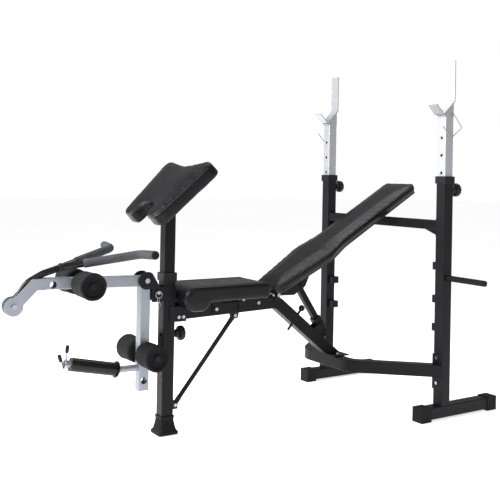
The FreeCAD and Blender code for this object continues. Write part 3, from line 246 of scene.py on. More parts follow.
def silver_coat(name, colour, metal):
    """Silver paint with a fine metal flake."""
    shader = Shader(name)
    cloud = shader.noise(9.0, 4.0)
    base = shader.tint(cloud, lighter(colour, 0.93), lighter(colour, 1.06))
    worn = shader.mix(shader.edges(0.25), base, lighter(colour, 1.5))
    shader.link(worn, shader.surface.inputs["Base Color"])
    shader.link(shader.spread(shader.noise(80.0, 5.0), 0.34, 0.46), shader.surface.inputs["Roughness"])
    shader.set(Metallic=metal, Coat_Weight=0.1, Coat_Roughness=0.25)
    shader.bump((shader.cells(2600.0), 0.00012, 0.2), (shader.noise(180.0, 3.0), 0.0003, 0.1))
    return shader.material


def plated_steel(name, colour, shine):
    """Zinc or chrome plate with faint drawn scratches."""
    shader = Shader(name)
    streaks = shader.noise(40.0, 5.0, 0.6, (1.0, 14.0, 1.0))
    shader.link(shader.tint(streaks, lighter(colour, 0.88), colour), shader.surface.inputs["Base Color"])
    shader.link(shader.spread(streaks, shine, shine + 0.14), shader.surface.inputs["Roughness"])
    shader.set(Metallic=1.0)
    shader.bump((streaks, 0.0002, 0.15))
    return shader.material


def vinyl(name, colour):
    """Grained vinyl: fine pebbles, long soft creases and a low sheen."""
    shader = Shader(name)
    cloud = shader.noise(5.0, 4.0)
    shader.link(shader.tint(cloud, lighter(colour, 0.75), lighter(colour, 1.35)),
                shader.surface.inputs["Base Color"])
    shader.link(shader.spread(shader.noise(26.0, 5.0), 0.26, 0.40), shader.surface.inputs["Roughness"])
    shader.set(Specular_IOR_Level=0.22)
    pebbles = shader.cells(620.0, "SMOOTH_F1")
    creases = shader.noise(14.0, 6.0, 0.62, (1.0, 1.6, 1.0))
    shader.bump((pebbles, 0.0005, 0.4), (creases, 0.0030, 0.10))
    return shader.material


def welt_finish_with_painted_highlight(name, colour):
    """The welt's vinyl, a little glossier where hands rub it; its colour is lighter in those patches
    too, a painted sheen.
    """
    shader = Shader(name)
    rub_and_painted_sheen = shader.noise(30.0, 4.0)
    # Painted sheen: in the rubbed patches the colour lightens up to 2.6 times the welt's own colour.
    shader.link(shader.tint(rub_and_painted_sheen, colour, lighter(colour, 2.6)), shader.surface.inputs["Base Color"])
    shader.link(shader.spread(rub_and_painted_sheen, 0.22, 0.38), shader.surface.inputs["Roughness"])
    shader.bump((shader.cells(900.0), 0.0003, 0.4))
    return shader.material


def closed_foam(name, colour, pore):
    """Closed-cell foam: matt, with open pores and faint moulding bands."""
    shader = Shader(name)
    cloud = shader.noise(18.0, 5.0)
    shader.link(shader.tint(cloud, lighter(colour, 0.88), lighter(colour, 1.22)),
                shader.surface.inputs["Base Color"])
    shader.link(shader.spread(shader.noise(70.0, 4.0), 0.78, 0.95), shader.surface.inputs["Roughness"])
    shader.set(Specular_IOR_Level=0.2)
    shader.bump((shader.cells(pore), 0.0009, 0.7), (shader.noise(45.0, 6.0), 0.002, 0.3))
    return shader.material


def moulded_plastic(name, colour, shine):
    """Moulded plastic with a fine spark-eroded grain."""
    shader = Shader(name)
    grain = shader.noise(700.0, 3.0)
    shader.link(shader.tint(shader.noise(12.0, 3.0), lighter(colour, 0.85), lighter(colour, 1.25)),
                shader.surface.inputs["Base Color"])
    shader.link(shader.spread(grain, shine, shine + 0.12), shader.surface.inputs["Roughness"])
    shader.set(Specular_IOR_Level=0.25)
    shader.bump((grain, 0.0002, 0.35))
    return shader.material


def moulded_rubber(name, colour):
    """Dusty moulded rubber."""
    shader = Shader(name)
    dust = shader.noise(22.0, 6.0, 0.65)
    shader.link(shader.tint(dust, colour, lighter(colour, 2.4), 0.45, 0.8),
                shader.surface.inputs["Base Color"])
    shader.link(shader.spread(dust, 0.6, 0.82), shader.surface.inputs["Roughness"])
    shader.set(Specular_IOR_Level=0.2)
    shader.bump((shader.noise(420.0, 3.0), 0.0003, 0.4))
    return shader.material


def plywood(name):
    """The boards under the cushions: stained black, with the grain showing."""
    shader = Shader(name)
    grain = shader.noise(16.0, 6.0, 0.6, (1.0, 16.0, 8.0))
    shader.link(shader.tint(grain, (0.010, 0.008, 0.007), (0.030, 0.024, 0.019)),
                shader.surface.inputs["Base Color"])
    shader.link(shader.spread(grain, 0.55, 0.75), shader.surface.inputs["Roughness"])
    shader.bump((grain, 0.0006, 0.4))
    return shader.material


FINISH = {}


# ---------------------------------------------------------------- mesh helpers

def new_object(name, mesh):
    obj = bpy.data.objects.new(name, mesh)
    bpy.context.scene.collection.objects.link(obj)
    return obj


def shade_smooth(mesh):
    for face in mesh.polygons:
        face.use_smooth = True


def mesh_piece(name, build):
    """Makes an object from a function that fills a bmesh."""
    grid = bmesh.new()
    build(grid)
    bmesh.ops.recalc_face_normals(grid, faces=grid.faces)
    mesh = bpy.data.meshes.new(name)
    grid.to_mesh(mesh)
    grid.free()
    shade_smooth(mesh)
    return new_object(name, mesh)


def wire_piece(name, points, radius, closed=False, resolution=3):
    """A round wire, bead or welt along points, as a mesh."""
    curve = bpy.data.curves.new(name + "_curve", "CURVE")
    curve.dimensions = "3D"
    curve.bevel_depth = radius
    curve.bevel_resolution = resolution
    curve.use_fill_caps = not closed
    line = curve.splines.new("POLY")
    line.points.add(len(points) - 1)
    for spot, point in zip(line.points, points):
        spot.co = (*point, 1.0)
    line.use_cyclic_u = closed
    guide = new_object(name + "_guide", curve)
    bpy.context.view_layer.update()
    mesh = bpy.data.meshes.new_from_object(guide.evaluated_get(bpy.context.evaluated_depsgraph_get()))
    bpy.data.objects.remove(guide)
    shade_smooth(mesh)
    return new_object(name, mesh)


def finish_piece(obj, body, finish):
    obj.data.materials.clear()
    obj.data.materials.append(FINISH[finish])
    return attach(obj, body)


def bridge(grid, rings):
    """Joins rings of vertices into a skin and closes both ends."""
    for low, high in zip(rings, rings[1:]):
        count = len(low)
        for step in range(count):
            following = (step + 1) % count
            grid.faces.new((low[step], low[following], high[following], high[step]))
    grid.faces.new(rings[0])
    grid.faces.new(rings[-1])


def turned(name, outline, place, along, segments, ripple=None):
    """A turned form: (distance along, radius) points spun about an axis, with an optional ripple."""
    turn = Vector((0, 0, 1)).rotation_difference(Vector(along)).to_matrix()

    def build(grid):
        rings = []
        for distance, radius in outline:
            ring = []
            for step in range(segments):
                angle = 2 * math.pi * step / segments
                reach = radius + (ripple(angle, distance, radius) if ripple else 0.0)
                spot = Vector((reach * math.cos(angle), reach * math.sin(angle), distance))
                ring.append(grid.verts.new(Vector(place) + turn @ spot))
            rings.append(ring)
        bridge(grid, rings)
    return mesh_piece(name, build)


def evaluated(obj):
    """The object's mesh with its modifiers applied."""
    bpy.context.view_layer.update()
    return bpy.data.meshes.new_from_object(obj.evaluated_get(bpy.context.evaluated_depsgraph_get()))


def remeshed(name, node_name, voxel, smoothing):
    """A fresh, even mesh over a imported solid, its corners eased."""
    obj = new_object(name, NODES[node_name].data.copy())
    remesh = obj.modifiers.new("Even", "REMESH")
    remesh.mode = "VOXEL"
    remesh.voxel_size = voxel
    ease = obj.modifiers.new("Ease", "SMOOTH")
    ease.iterations = smoothing
    ease.factor = 0.5
    mesh = evaluated(obj)
    obj.modifiers.clear()
    obj.data = mesh
    shade_smooth(mesh)
    return obj


FEWEST_RING_POINTS = 20


def outline_at(obj, point, normal):
    """Where a plane cuts a mesh, as closed rings of points in order, longest first."""
    grid = bmesh.new()
    grid.from_mesh(obj.data)
    cut = bmesh.ops.bisect_plane(grid, geom=grid.verts[:] + grid.edges[:] + grid.faces[:],
                                 plane_co=point, plane_no=normal)["geom_cut"]
    unused = dict.fromkeys(item for item in cut if isinstance(item, bmesh.types.BMEdge))
    rings = []
    while unused:
        edge, _ = unused.popitem()
        ring = [edge.verts[0], edge.verts[1]]
        while True:
            following = next((e for e in ring[-1].link_edges if e in unused), None)
            if following is None:
                break
            del unused[following]
            ring.append(following.other_vert(ring[-1]))
        if len(ring) > FEWEST_RING_POINTS:
            rings.append([vertex.co.copy() for vertex in ring[:-1]])
    grid.free()
    return sorted(rings, key=len, reverse=True)


def eased_ring(ring, rounds):
    """Smooths a closed ring of points."""
    for _ in range(rounds):
        count = len(ring)
        ring = [(ring[i - 1] + ring[i] * 2 + ring[(i + 1) % count]) / 4 for i in range(count)]
    return ring


# ---------------------------------------------------------------- cushions

SKIN_VOXEL = 0.005
CLOTH_PRESSURE = 3.0
CLOTH_FRAMES = 20
CALMING_ROUNDS = 8
START_INSET = 0.3
FIRM_SHARE = 0.5
SEAM_REACH = 0.007
SEAM_HOLD = 0.9
HELD_ABOVE_UNDERSIDE = 0.004
FREEING_DEPTH = 0.03
WELT_ROUNDS = 12
BACK_INCLINE = math.radians(30.0)
BACK_UNDERSIDE = 0.0125
BACK_SEAM_RISE = 0.039
PREACHER_LOW_EDGE = (-0.131, 0, 0.845)
PREACHER_INCLINE = math.radians(43.6)
PREACHER_UNDERSIDE = -0.056
PREACHER_SEAM = -0.004
SEAT_WELT_INSET = 0.012


class Cushion:
    """One upholstered pad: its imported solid, its own axes and where its seam lies.

    softness is how many rounds of smoothing ease its corners. A firm cushion is swelled evenly
    and not filled by the cloth pressure.
    """

    def __init__(self, name, node_name, body, origin, tilt, underside, seam, softness=14,
                 firm=False):
        self.name = name
        self.node_name = node_name
        self.body = body
        self.axes = Matrix.Translation(Vector(origin)) @ Matrix.Rotation(-tilt, 4, "Y")
        self.underside = underside
        self.seam = seam
        self.softness = softness
        self.firm = firm


def blow_up(obj, pins, pressure, limit):
    """Fills a skin by cloth pressure, holding the pinned points, and caps how far it moves."""
    start = [vertex.co.copy() for vertex in obj.data.vertices]
    group = obj.vertex_groups.new(name="held")
    for index, weight in pins.items():
        group.add([index], weight, "REPLACE")
    cloth = obj.modifiers.new("Fill", "CLOTH")
    settings = cloth.settings
    settings.quality = 4
    settings.mass = 0.2
    settings.tension_stiffness = 18
    settings.compression_stiffness = 18
    settings.shear_stiffness = 8
    settings.bending_stiffness = 8.0
    settings.use_pressure = True
    settings.uniform_pressure_force = pressure
    settings.vertex_group_mass = "held"
    settings.effector_weights.gravity = 0.0
    cloth.collision_settings.use_collision = False
    scene = bpy.context.scene
    for number in range(1, CLOTH_FRAMES + 1):
        scene.frame_set(number)
    mesh = evaluated(obj)
    scene.frame_set(1)
    obj.modifiers.clear()
    obj.vertex_groups.clear()
    for vertex, before in zip(mesh.vertices, start):
        move = vertex.co - before
        if move.length > limit:
            vertex.co = before + move.normalized() * limit
    obj.data = mesh
    calm = obj.modifiers.new("Calm", "SMOOTH")
    calm.factor = 0.5
    calm.iterations = CALMING_ROUNDS
    obj.data = evaluated(obj)
    obj.modifiers.clear()


def puff(obj, pins, limit):
    """Swells a cushion evenly: each free point moves out along its normal, up to half the limit."""
    moves = {vertex.index: vertex.normal.copy() for vertex in obj.data.vertices}
    for vertex in obj.data.vertices:
        free = 1.0 - pins.get(vertex.index, 0.0)
        vertex.co += moves[vertex.index] * limit * FIRM_SHARE * free


def upholster(cushion, sizes):
    """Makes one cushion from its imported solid: even skin, swelling and seam groove."""
    obj = remeshed(cushion.name, cushion.node_name, SKIN_VOXEL, cushion.softness)
    pins = {}
    to_pad = cushion.axes.inverted()
    normals = [vertex.normal.copy() for vertex in obj.data.vertices]
    for vertex, normal in zip(obj.data.vertices, normals):
        place = to_pad @ vertex.co
        above = place.z - cushion.underside - HELD_ABOVE_UNDERSIDE
        free = max(0.0, min(1.0, above / FREEING_DEPTH))
        near_seam = 0.0
        if cushion.seam is not None:
            near_seam = max(0.0, 1.0 - abs(place.z - cushion.seam) / SEAM_REACH)
        pins[vertex.index] = max(1.0 - free, near_seam * SEAM_HOLD)
        vertex.co -= normal * (sizes.crown * START_INSET * free)
    if cushion.firm:
        puff(obj, pins, sizes.crown)
    else:
        blow_up(obj, pins, CLOTH_PRESSURE, sizes.crown)
    if cushion.seam is not None:
        pull_seam(obj, cushion, sizes.pucker)
    shade_smooth(obj.data)
    ease = obj.modifiers.new("Fine", "SUBSURF")
    ease.levels = 1
    ease.render_levels = 1
    obj.data = evaluated(obj)
    obj.modifiers.clear()
    finish_piece(obj, cushion.body, "vinyl")
    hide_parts(cushion.node_name)
    return obj


def pull_seam(obj, cushion, depth):
    """Draws the skin in along the seam, with the small folds that stitching makes."""
    groove_width, fold_width = 0.004, 0.013
    groove_share, fold_share = 1.2, 0.5
    to_pad = cushion.axes.inverted()
    normals = [vertex.normal.copy() for vertex in obj.data.vertices]
    for vertex, normal in zip(obj.data.vertices, normals):
        place = to_pad @ vertex.co
        near = math.exp(-((place.z - cushion.seam) / groove_width) ** 2)
        around = place.x + place.y * 0.8
        fold = math.exp(-((place.z - cushion.seam) / fold_width) ** 2)
        wave = math.sin(around * 260.0) * math.sin(around * 97.0 + 1.3)
        vertex.co -= normal * (near * depth * groove_share + fold * wave * depth * fold_share)


def welt(obj, name, point, normal, radius, body):
    """Sews a thin welt along the ring where a plane cuts a cushion."""
    longest = outline_at(obj, point, normal)[0]
    piece = wire_piece(name + "_0", eased_ring(longest, WELT_ROUNDS), radius, closed=True, resolution=2)
    finish_piece(piece, body, "piping")


def seam_welt(obj, name, cushion, radius):
    """Sews a welt along a cushion's own seam."""
    normal = cushion.axes.to_3x3() @ Vector((0, 0, 1))
    welt(obj, name, cushion.axes @ Vector((0, 0, cushion.seam)), normal, radius, cushion.body)


def joint_named(name):
    return next(joint for joint in frame["joints"] if joint["name"] == name)


class BENCH_OT_backrest(bpy.types.Operator):
    """Upholster the long back cushion"""

    bl_idname = "bench.backrest"
    bl_label = "Back cushion"

    def execute(self, context):
        sizes = context.scene.bench_cushions
        hinge = joint_named("backrest_tilt")["pos_m"]
        cushion = Cushion("back_cushion", "backrest_pad", "backrest", hinge, BACK_INCLINE,
                          BACK_UNDERSIDE, BACK_UNDERSIDE + BACK_SEAM_RISE)
        seam_welt(upholster(cushion, sizes), "back_welt", cushion, sizes.piping)
        return {"FINISHED"}


class BENCH_OT_seat(bpy.types.Operator):
    """Upholster the seat with its rolled front"""

    bl_idname = "bench.seat"
    bl_label = "Seat cushion"

    def execute(self, context):
        sizes = context.scene.bench_cushions
        low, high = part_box("seat_pad")
        cushion = Cushion("seat_cushion", "seat_pad", "frame", (0, 0, 0), 0.0, low.z, None,
                          softness=16, firm=True)
        obj = upholster(cushion, sizes)
        for side, y in (("right", low.y + SEAT_WELT_INSET), ("left", high.y - SEAT_WELT_INSET)):
            welt(obj, f"seat_welt_{side}", Vector((0, y, 0)), Vector((0, 1, 0)), sizes.piping, "frame")
        return {"FINISHED"}


class BENCH_OT_preacher(bpy.types.Operator):
    """Upholster the notched arm-curl cushion"""

    bl_idname = "bench.preacher"
    bl_label = "Arm-curl cushion"

    def execute(self, context):
        sizes = context.scene.bench_cushions
        cushion = Cushion("preacher_cushion", "preacher_pad", "preacher", PREACHER_LOW_EDGE,
                          PREACHER_INCLINE, PREACHER_UNDERSIDE, PREACHER_SEAM, softness=60)
        seam_welt(upholster(cushion, sizes), "preacher_welt", cushion, sizes.piping)
        return {"FINISHED"}


# ---------------------------------------------------------------- foam parts

def roller_ripple(seed):
    """The slight unevenness of cut foam."""
    def ripple(angle, distance, radius):
        wave = math.sin(angle * 5 + seed) + 0.6 * math.sin(angle * 11 + distance * 90 + seed * 2)
        return 0.00035 * wave * min(1.0, radius / 0.04)
    return ripple


class BENCH_OT_rollers(bpy.types.Operator):
    """Turn the foam rollers, with dished ends and plugs on their bars"""

    bl_idname = "bench.rollers"
    bl_label = "Foam rollers"

    def execute(self, context):
        for number, level in enumerate(("upper", "lower")):
            for side in SIDES:
                self.roller(level, side, number * 2 + (side == "left"))
        return {"FINISHED"}

    def roller(self, level, side, seed):
        node_name = f"foam_roller_{level}_{side}"
        low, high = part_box(node_name)
        centre = (low + high) / 2
        radius = (high.x - low.x) / 2
        length = high.y - low.y
        outward = 1 if side == "left" else -1
        inner = low.y if outward > 0 else high.y
        bore = 0.0129
        body = radius * 0.935
        dish = radius - 0.012
        outline = [(0.0, bore), (0.0, body - 0.012), (0.0015, body - 0.006), (0.006, body - 0.001),
                   (0.011, body)]
        for share in (0.2, 0.35, 0.5, 0.62, 0.70):
            outline.append((length * share, body + 0.0005 * math.sin(math.pi * share)))
        for share, swell in ((0.76, 0.12), (0.80, 0.45), (0.84, 0.82), (0.88, 0.97), (0.93, 1.0)):
            outline.append((length * share, body + (radius - 0.0004 - body) * swell))
        outline += [(length - 0.004, radius - 0.0010), (length - 0.001, radius - 0.0035),
                    (length, radius - 0.0065), (length - 0.001, radius - 0.0095), (length - 0.003, dish),
                    (length - 0.009, dish - 0.001), (length - 0.012, dish - 0.004),
                    (length - 0.013, bore + 0.008), (length - 0.013, bore)]
        foam = turned(f"roller_foam_{level}_{side}", outline, (centre.x, inner, centre.z),
                      (0, outward, 0), 72, roller_ripple(seed))
        finish_piece(foam, f"roller_{level}_{side}", "foam")
        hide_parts(node_name)
        tip = inner + outward * (length - 0.0065)
        plug = [(0.0, 0.0001), (0.0, 0.0124), (0.0010, 0.0136), (0.0024, 0.0134), (0.0034, 0.0110),
                (0.0036, 0.0070), (0.0030, 0.0001)]
        cap = turned(f"roller_plug_{level}_{side}", plug, (centre.x, tip, centre.z), (0, outward, 0), 40)
        finish_piece(cap, "lever", "plastic")


class BENCH_OT_grips(bpy.types.Operator):
    """Cover the curl bar's arms in foam"""

    bl_idname = "bench.grips"
    bl_label = "Curl bar grips"

    def execute(self, context):
        voxel, smoothing = 0.0016, 3
        for side in SIDES:
            grip = remeshed(f"grip_foam_{side}", f"curl_grip_{side}", voxel, smoothing)
            finish_piece(grip, "curl", "grip")
            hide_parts(f"curl_grip_{side}")
        return {"FINISHED"}


# ---------------------------------------------------------------- hard parts

def squircle(half, angle, power):
    """A point on a square with rounded corners; a higher power makes them tighter."""
    c, s = math.cos(angle), math.sin(angle)
    reach = half / (abs(c) ** power + abs(s) ** power) ** (1 / power)
    return reach * c, reach * s


class BENCH_OT_foot(bpy.types.Operator):
    """Mould the ribbed rubber foot under the front post"""

    bl_idname = "bench.foot"
    bl_label = "Front foot"

    def execute(self, context):
        low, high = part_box("front_foot")
        half_base = (high.x - low.x) / 2
        post_low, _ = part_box("front_post")
        tube_half = 0.025
        half_top = tube_half + 0.003
        height = high.z - low.z
        segments = 160
        corner_power = 9.0
        rib_depth, rib_pitch = 0.0030, 0.0105

        def build(grid):
            rows = [(0.0, half_base - 0.002, 0.0), (0.0015, half_base, 0.0), (0.010, half_base, 0.0),
                    (0.013, half_base - 0.002, 0.0)]
            steps = 9
            for step in range(steps + 1):
                share = step / steps
                flare = (1 - share) ** 1.7
                rows.append((0.015 + (height - 0.027) * share,
                             half_top + (half_base - 0.004 - half_top) * flare, 1.0))
            rows += [(height - 0.010, half_top + 0.0015, 0.0), (height - 0.002, half_top + 0.0015, 0.0),
                     (height, half_top, 0.0), (height, tube_half + 0.0002, 0.0),
                     (post_low.z, tube_half + 0.0002, 0.0)]
            rings = []
            for z, half, ribbed in rows:
                ring = []
                for step in range(segments):
                    angle = 2 * math.pi * step / segments
                    x, y = squircle(half, angle, corner_power)
                    across = y if abs(x) > abs(y) else x
                    rib = (0.5 + 0.5 * math.cos(across * 2 * math.pi / rib_pitch)) ** 2
                    ridge = rib_depth * ribbed * rib
                    scale = 1 - ridge / max(half, 0.01)
                    ring.append(grid.verts.new((x * scale, y * scale, z)))
                rings.append(ring)
            bridge(grid, rings)
        foot = mesh_piece("foot_rubber", build)
        finish_piece(foot, "frame", "rubber")
        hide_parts("front_foot")
        return {"FINISHED"}


def knob_scallops(rim):
    """Finger scallops round a knob's rim."""
    count, depth, inner_share = 14, 0.0016, 0.72

    def ripple(angle, distance, radius):
        if radius < rim * inner_share:
            return 0.0
        return -depth * (0.5 + 0.5 * math.cos(angle * count)) ** 2
    return ripple


class BENCH_OT_knobs(bpy.types.Operator):
    """Mould the clamp knobs on the post and the rack"""

    bl_idname = "bench.knobs"
    bl_label = "Clamp knobs"

    def execute(self, context):
        for node_name, body in (("post_knob", "post_knob_body"), ("rack_knob_left", "knob_left"),
                                ("rack_knob_right", "knob_right")):
            low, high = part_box(node_name)
            centre = (low + high) / 2
            rim = (high.z - low.z) / 2
            thick, screw = 0.024, 0.006
            face = high.x
            back = face - thick
            outline = [(low.x, 0.0001), (low.x, screw), (back - 0.015, screw), (back - 0.015, 0.012),
                       (back - 0.012, 0.015), (back - 0.002, 0.0165), (back, 0.020),
                       (back + 0.001, rim - 0.005),
                       (back + 0.004, rim - 0.0012), (back + 0.008, rim), (face - 0.008, rim),
                       (face - 0.003, rim - 0.0015), (face - 0.0008, rim - 0.005), (face, rim - 0.009),
                       (face - 0.0012, rim - 0.0105), (face - 0.0012, 0.006), (face - 0.0008, 0.0001)]
            knob = turned(node_name + "_moulded", [(x - low.x, r) for x, r in outline],
                          (low.x, centre.y, centre.z), (1, 0, 0), 112, knob_scallops(rim))
            finish_piece(knob, body, "plastic")
            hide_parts(node_name)
        return {"FINISHED"}


class BENCH_OT_spring_collar(bpy.types.Operator):
    """Wind the spring collar that holds plates on the lever's sleeve"""

    bl_idname = "bench.spring_collar"
    bl_label = "Spring collar"

    def execute(self, context):
        axis = Vector(joint_named("spring_collar_slide")["axis"]).normalized()
        side = Vector((0, 1, 0))
        up = side.cross(axis).normalized()
        if up.z < 0:
            up = -up
        sleeve_low, sleeve_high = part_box("weight_sleeve")
        tip = Vector((sleeve_low.x, 0, sleeve_high.z))
        sleeve_radius, upright_share = 0.025, 0.98
        start = tip - up * sleeve_radius * upright_share + axis * 0.0005
        coil_radius, coil_start, coil_length, wire = 0.0152, 0.003, 0.0105, 0.0024
        turns, steps, begin = 3.35, 120, math.radians(60)
        grip_offset = 0.021
        points = []
        for step in range(steps + 1):
            share = step / steps
            angle = begin + share * turns * 2 * math.pi
            points.append(start + axis * (coil_start + share * coil_length)
                          + (up * math.cos(angle) + side * math.sin(angle)) * coil_radius)
        first_up = Vector((0.10, 0, 1)).normalized()
        last_up = Vector((-0.34, 0, 1)).normalized()
        first = [points[0] + first_up * reach for reach in (0.058, 0.036, 0.018)]
        last = [points[-1] + last_up * reach for reach in (0.018, 0.034, 0.052)]
        coil = wire_piece("collar_spring", first + points + last, wire, resolution=4)
        finish_piece(coil, "collar_clip", "chrome")
        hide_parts("spring_collar")
        outline = [(-0.006, 0.0030), (-0.005, 0.0062), (0.004, 0.0070), (0.016, 0.0074),
                   (0.0205, 0.0066), (0.0225, 0.0040), (0.0230, 0.0002)]
        for label, end, direction in (("inner", first[0], first_up), ("outer", last[-1], last_up)):
            root = end - direction * grip_offset
            sleeve = turned(f"collar_grip_{label}", outline, root, direction, 28)
            finish_piece(sleeve, "collar_clip", "plastic")
        return {"FINISHED"}


class BENCH_OT_hitch_clip(bpy.types.Operator):
    """Hang the wire clip on the hitch pin's ring"""

    bl_idname = "bench.hitch_clip"
    bl_label = "Hitch pin clip"

    def execute(self, context):
        low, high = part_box("hitch_pin")
        x = (low.x + high.x) / 2
        y = low.y - 0.0012
        top = low.z + 0.002
        eye_radius, eye_steps, wire = 0.0045, 18, 0.0011
        points = []
        for step in range(eye_steps + 1):
            angle = math.pi * 1.5 * step / eye_steps - math.pi * 0.75
            points.append(Vector((x - 0.004 + eye_radius * math.sin(angle), y,
                                  top + eye_radius * math.cos(angle))))
        left = [Vector((x - 0.008, y, top - 0.014)), Vector((x - 0.0115, y, top - 0.027)),
                Vector((x - 0.0085, y, top - 0.040))]
        right = [Vector((x + 0.001, y, top - 0.012)), Vector((x + 0.0055, y, top - 0.026)),
                 Vector((x + 0.0005, y, top - 0.038)), Vector((x - 0.004, y, top - 0.044))]
        clip = wire_piece("hitch_clip", list(reversed(left)) + points + right, wire)
        finish_piece(clip, "hitch", "chrome")
        return {"FINISHED"}


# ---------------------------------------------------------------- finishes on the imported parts

CAD_FINISH = {
    "silver": ("leg_lever", "lever_fork", "loader_bar"),
    "bright": ("rack_slider_left", "rack_slider_right", "rack_hook_left", "rack_hook_right"),
    "chrome": ("frame_bolts", "lever_pivot_bolt", "curl_pivot_bolt", "backrest_hinge_pin", "hitch_pin",
               "safety_wire_left", "safety_wire_right"),
    "rubber": ("rail_caps_left", "rail_caps_right", "curl_end_plugs"),
    "plastic": ("post_collar", "upright_collar_left", "upright_collar_right", "frame_lock_pin"),
    "gloss": ("weight_sleeve", "curl_bar"),
    "plywood": ("seat_board", "backrest_board", "preacher_board"),
}


class BENCH_OT_finishes(bpy.types.Operator):
    """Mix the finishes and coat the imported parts"""

    bl_idname = "bench.finishes"
    bl_label = "Finishes"

    def execute(self, context):
        colours = context.scene.bench_colours
        FINISH["powder"] = powder_coat("black_powder_coat", tuple(colours.powder), 0.36)
        FINISH["silver"] = silver_coat("silver_coat", tuple(colours.silver), 0.45)
        FINISH["bright"] = silver_coat("bright_coat", tuple(colours.bright), 0.55)
        FINISH["chrome"] = plated_steel("zinc_plate", (0.40, 0.41, 0.43), 0.2)
        FINISH["vinyl"] = vinyl("grained_vinyl", tuple(colours.vinyl))
        # The welt's colour is twice the cushion vinyl's: a painted highlight along the seams.
        FINISH["piping"] = welt_finish_with_painted_highlight("welt_vinyl_painted_highlight", lighter(tuple(colours.vinyl), 2.0))
        FINISH["foam"] = closed_foam("roller_foam", tuple(colours.foam), 420.0)
        FINISH["grip"] = closed_foam("grip_foam", tuple(colours.grip), 700.0)
        FINISH["plastic"] = moulded_plastic("black_plastic", (0.0060, 0.0060, 0.0064), 0.32)
        FINISH["gloss"] = moulded_plastic("gloss_plastic", (0.0070, 0.0068, 0.0060), 0.16)
        FINISH["rubber"] = moulded_rubber("black_rubber", (0.0065, 0.0065, 0.0070))
        FINISH["plywood"] = plywood("plywood")
        coated = {node_name: finish for finish, names in CAD_FINISH.items() for node_name in names}
        for node_name, obj in NODES.items():
            obj.data.materials.clear()
            obj.data.materials.append(FINISH[coated.get(node_name, "powder")])
        return {"FINISHED"}


# ---------------------------------------------------------------- studio

def area_light(name, place, target, size, power):
    data = bpy.data.lights.new(name, "AREA")
    data.shape = "RECTANGLE"
    data.size, data.size_y = size
    data.energy = power
    lamp = new_object(name, data)
    lamp.location = place
    lamp.rotation_euler = (Vector(target) - Vector(place)).to_track_quat("-Z", "Y").to_euler()
    return lamp


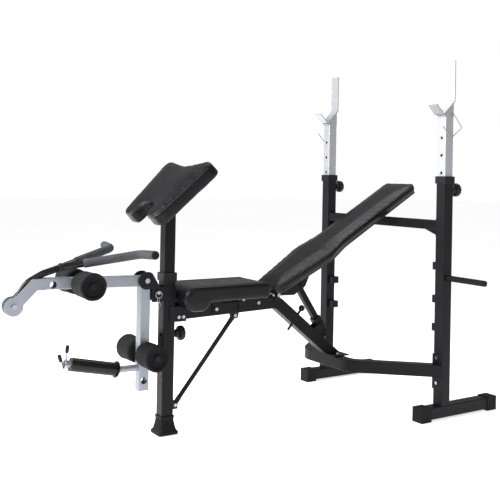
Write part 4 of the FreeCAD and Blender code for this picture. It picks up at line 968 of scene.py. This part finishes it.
class BENCH_OT_studio(bpy.types.Operator):
    """Set the floor, the soft lights and the camera"""

    bl_idname = "bench.studio"
    bl_label = "Studio"

    def execute(self, context):
        low, high = CAD_BOX
        centre = (Vector(low) + Vector(high)) / 2
        self.floor(centre)
        self.lights(centre)
        self.camera(context.scene.bench_studio)
        return {"FINISHED"}

    def floor(self, centre):
        half_size, drop, glow, air_on_object = 30.0, 0.0006, 0.66, 0.34

        def build(grid):
            bmesh.ops.create_grid(grid, x_segments=8, y_segments=8, size=half_size)
            for vertex in grid.verts:
                vertex.co += Vector((centre.x, centre.y, -drop))
        floor = mesh_piece("studio_floor", build)
        shader = Shader("studio_paper")
        shader.link(shader.tint(shader.noise(0.6, 2.0), (0.90, 0.90, 0.90), (0.93, 0.93, 0.93)),
                    shader.surface.inputs["Base Color"])
        shader.set(Roughness=0.9, Specular_IOR_Level=0.0, Emission_Color=(1.0, 1.0, 1.0, 1.0),
                   Emission_Strength=glow)
        floor.data.materials.append(shader.material)
        world = bpy.data.worlds.new("studio_air")
        world.use_nodes = True
        tree = world.node_tree
        air = tree.nodes["Background"]
        air.inputs["Color"].default_value = (1.0, 1.0, 1.0, 1.0)
        seen = tree.nodes.new("ShaderNodeLightPath").outputs["Is Camera Ray"]
        strength = tree.nodes.new("ShaderNodeMapRange")
        strength.inputs["To Min"].default_value = air_on_object
        strength.inputs["To Max"].default_value = 1.0
        tree.links.new(seen, strength.inputs["Value"])
        tree.links.new(strength.outputs["Result"], air.inputs["Strength"])
        bpy.context.scene.world = world
        bpy.context.scene.view_settings.view_transform = "Standard"

    def lights(self, centre):
        area_light("key_light", centre + Vector((-3.2, 0.9, 1.6)), centre, (2.0, 2.4), 230.0)
        area_light("near_light", centre + Vector((-1.8, -3.0, 2.2)), centre, (2.4, 1.6), 45.0)
        area_light("top_light", centre + Vector((0.5, 0.9, 3.0)), centre, (2.6, 1.6), 60.0)

    def camera(self, studio):
        data = bpy.data.cameras.new("bench_camera")
        data.sensor_width = 36.0
        data.lens = studio.focal
        data.shift_y = studio.rise
        data.clip_end = 100.0
        camera = new_object("bench_camera", data)
        heading, pitch = studio.camera_turn, studio.camera_pitch
        forward = Vector((math.sin(heading) * math.cos(pitch), math.cos(heading) * math.cos(pitch),
                          math.sin(pitch)))
        aim = forward.to_track_quat("-Z", "Y").to_matrix()
        roll = Matrix.Rotation(studio.camera_roll, 3, "Z")
        camera.matrix_world = Matrix.Translation(Vector(studio.camera_place)) @ (aim @ roll).to_4x4()
        bpy.context.scene.camera = camera


# ---------------------------------------------------------------- the add-on

STEPS = (BENCH_OT_finishes, BENCH_OT_backrest, BENCH_OT_seat, BENCH_OT_preacher, BENCH_OT_rollers,
         BENCH_OT_grips, BENCH_OT_foot, BENCH_OT_knobs, BENCH_OT_spring_collar, BENCH_OT_hitch_clip,
         BENCH_OT_studio)


class BENCH_PT_panel(bpy.types.Panel):
    """The bench's tools"""

    bl_idname = "BENCH_PT_panel"
    bl_label = "Weight bench"
    bl_space_type = "VIEW_3D"
    bl_region_type = "UI"
    bl_category = "Bench"

    def draw(self, context):
        layout = self.layout
        for group in (context.scene.bench_cushions, context.scene.bench_colours,
                      context.scene.bench_studio):
            for name in type(group).__annotations__:
                layout.prop(group, name)
        for step in STEPS:
            layout.operator(step.bl_idname)


CLASSES = (BenchCushions, BenchColours, BenchStudio, *STEPS, BENCH_PT_panel)


def register():
    for item in CLASSES:
        bpy.utils.register_class(item)
    bpy.types.Scene.bench_cushions = bpy.props.PointerProperty(type=BenchCushions)
    bpy.types.Scene.bench_colours = bpy.props.PointerProperty(type=BenchColours)
    bpy.types.Scene.bench_studio = bpy.props.PointerProperty(type=BenchStudio)


def unregister():
    for name in ("bench_cushions", "bench_colours", "bench_studio"):
        delattr(bpy.types.Scene, name)
    for item in reversed(CLASSES):
        bpy.utils.unregister_class(item)


def main():
    register()
    for step in STEPS:
        family, name = step.bl_idname.split(".")
        getattr(getattr(bpy.ops, family), name)()


if __name__ == "__main__":
    main()
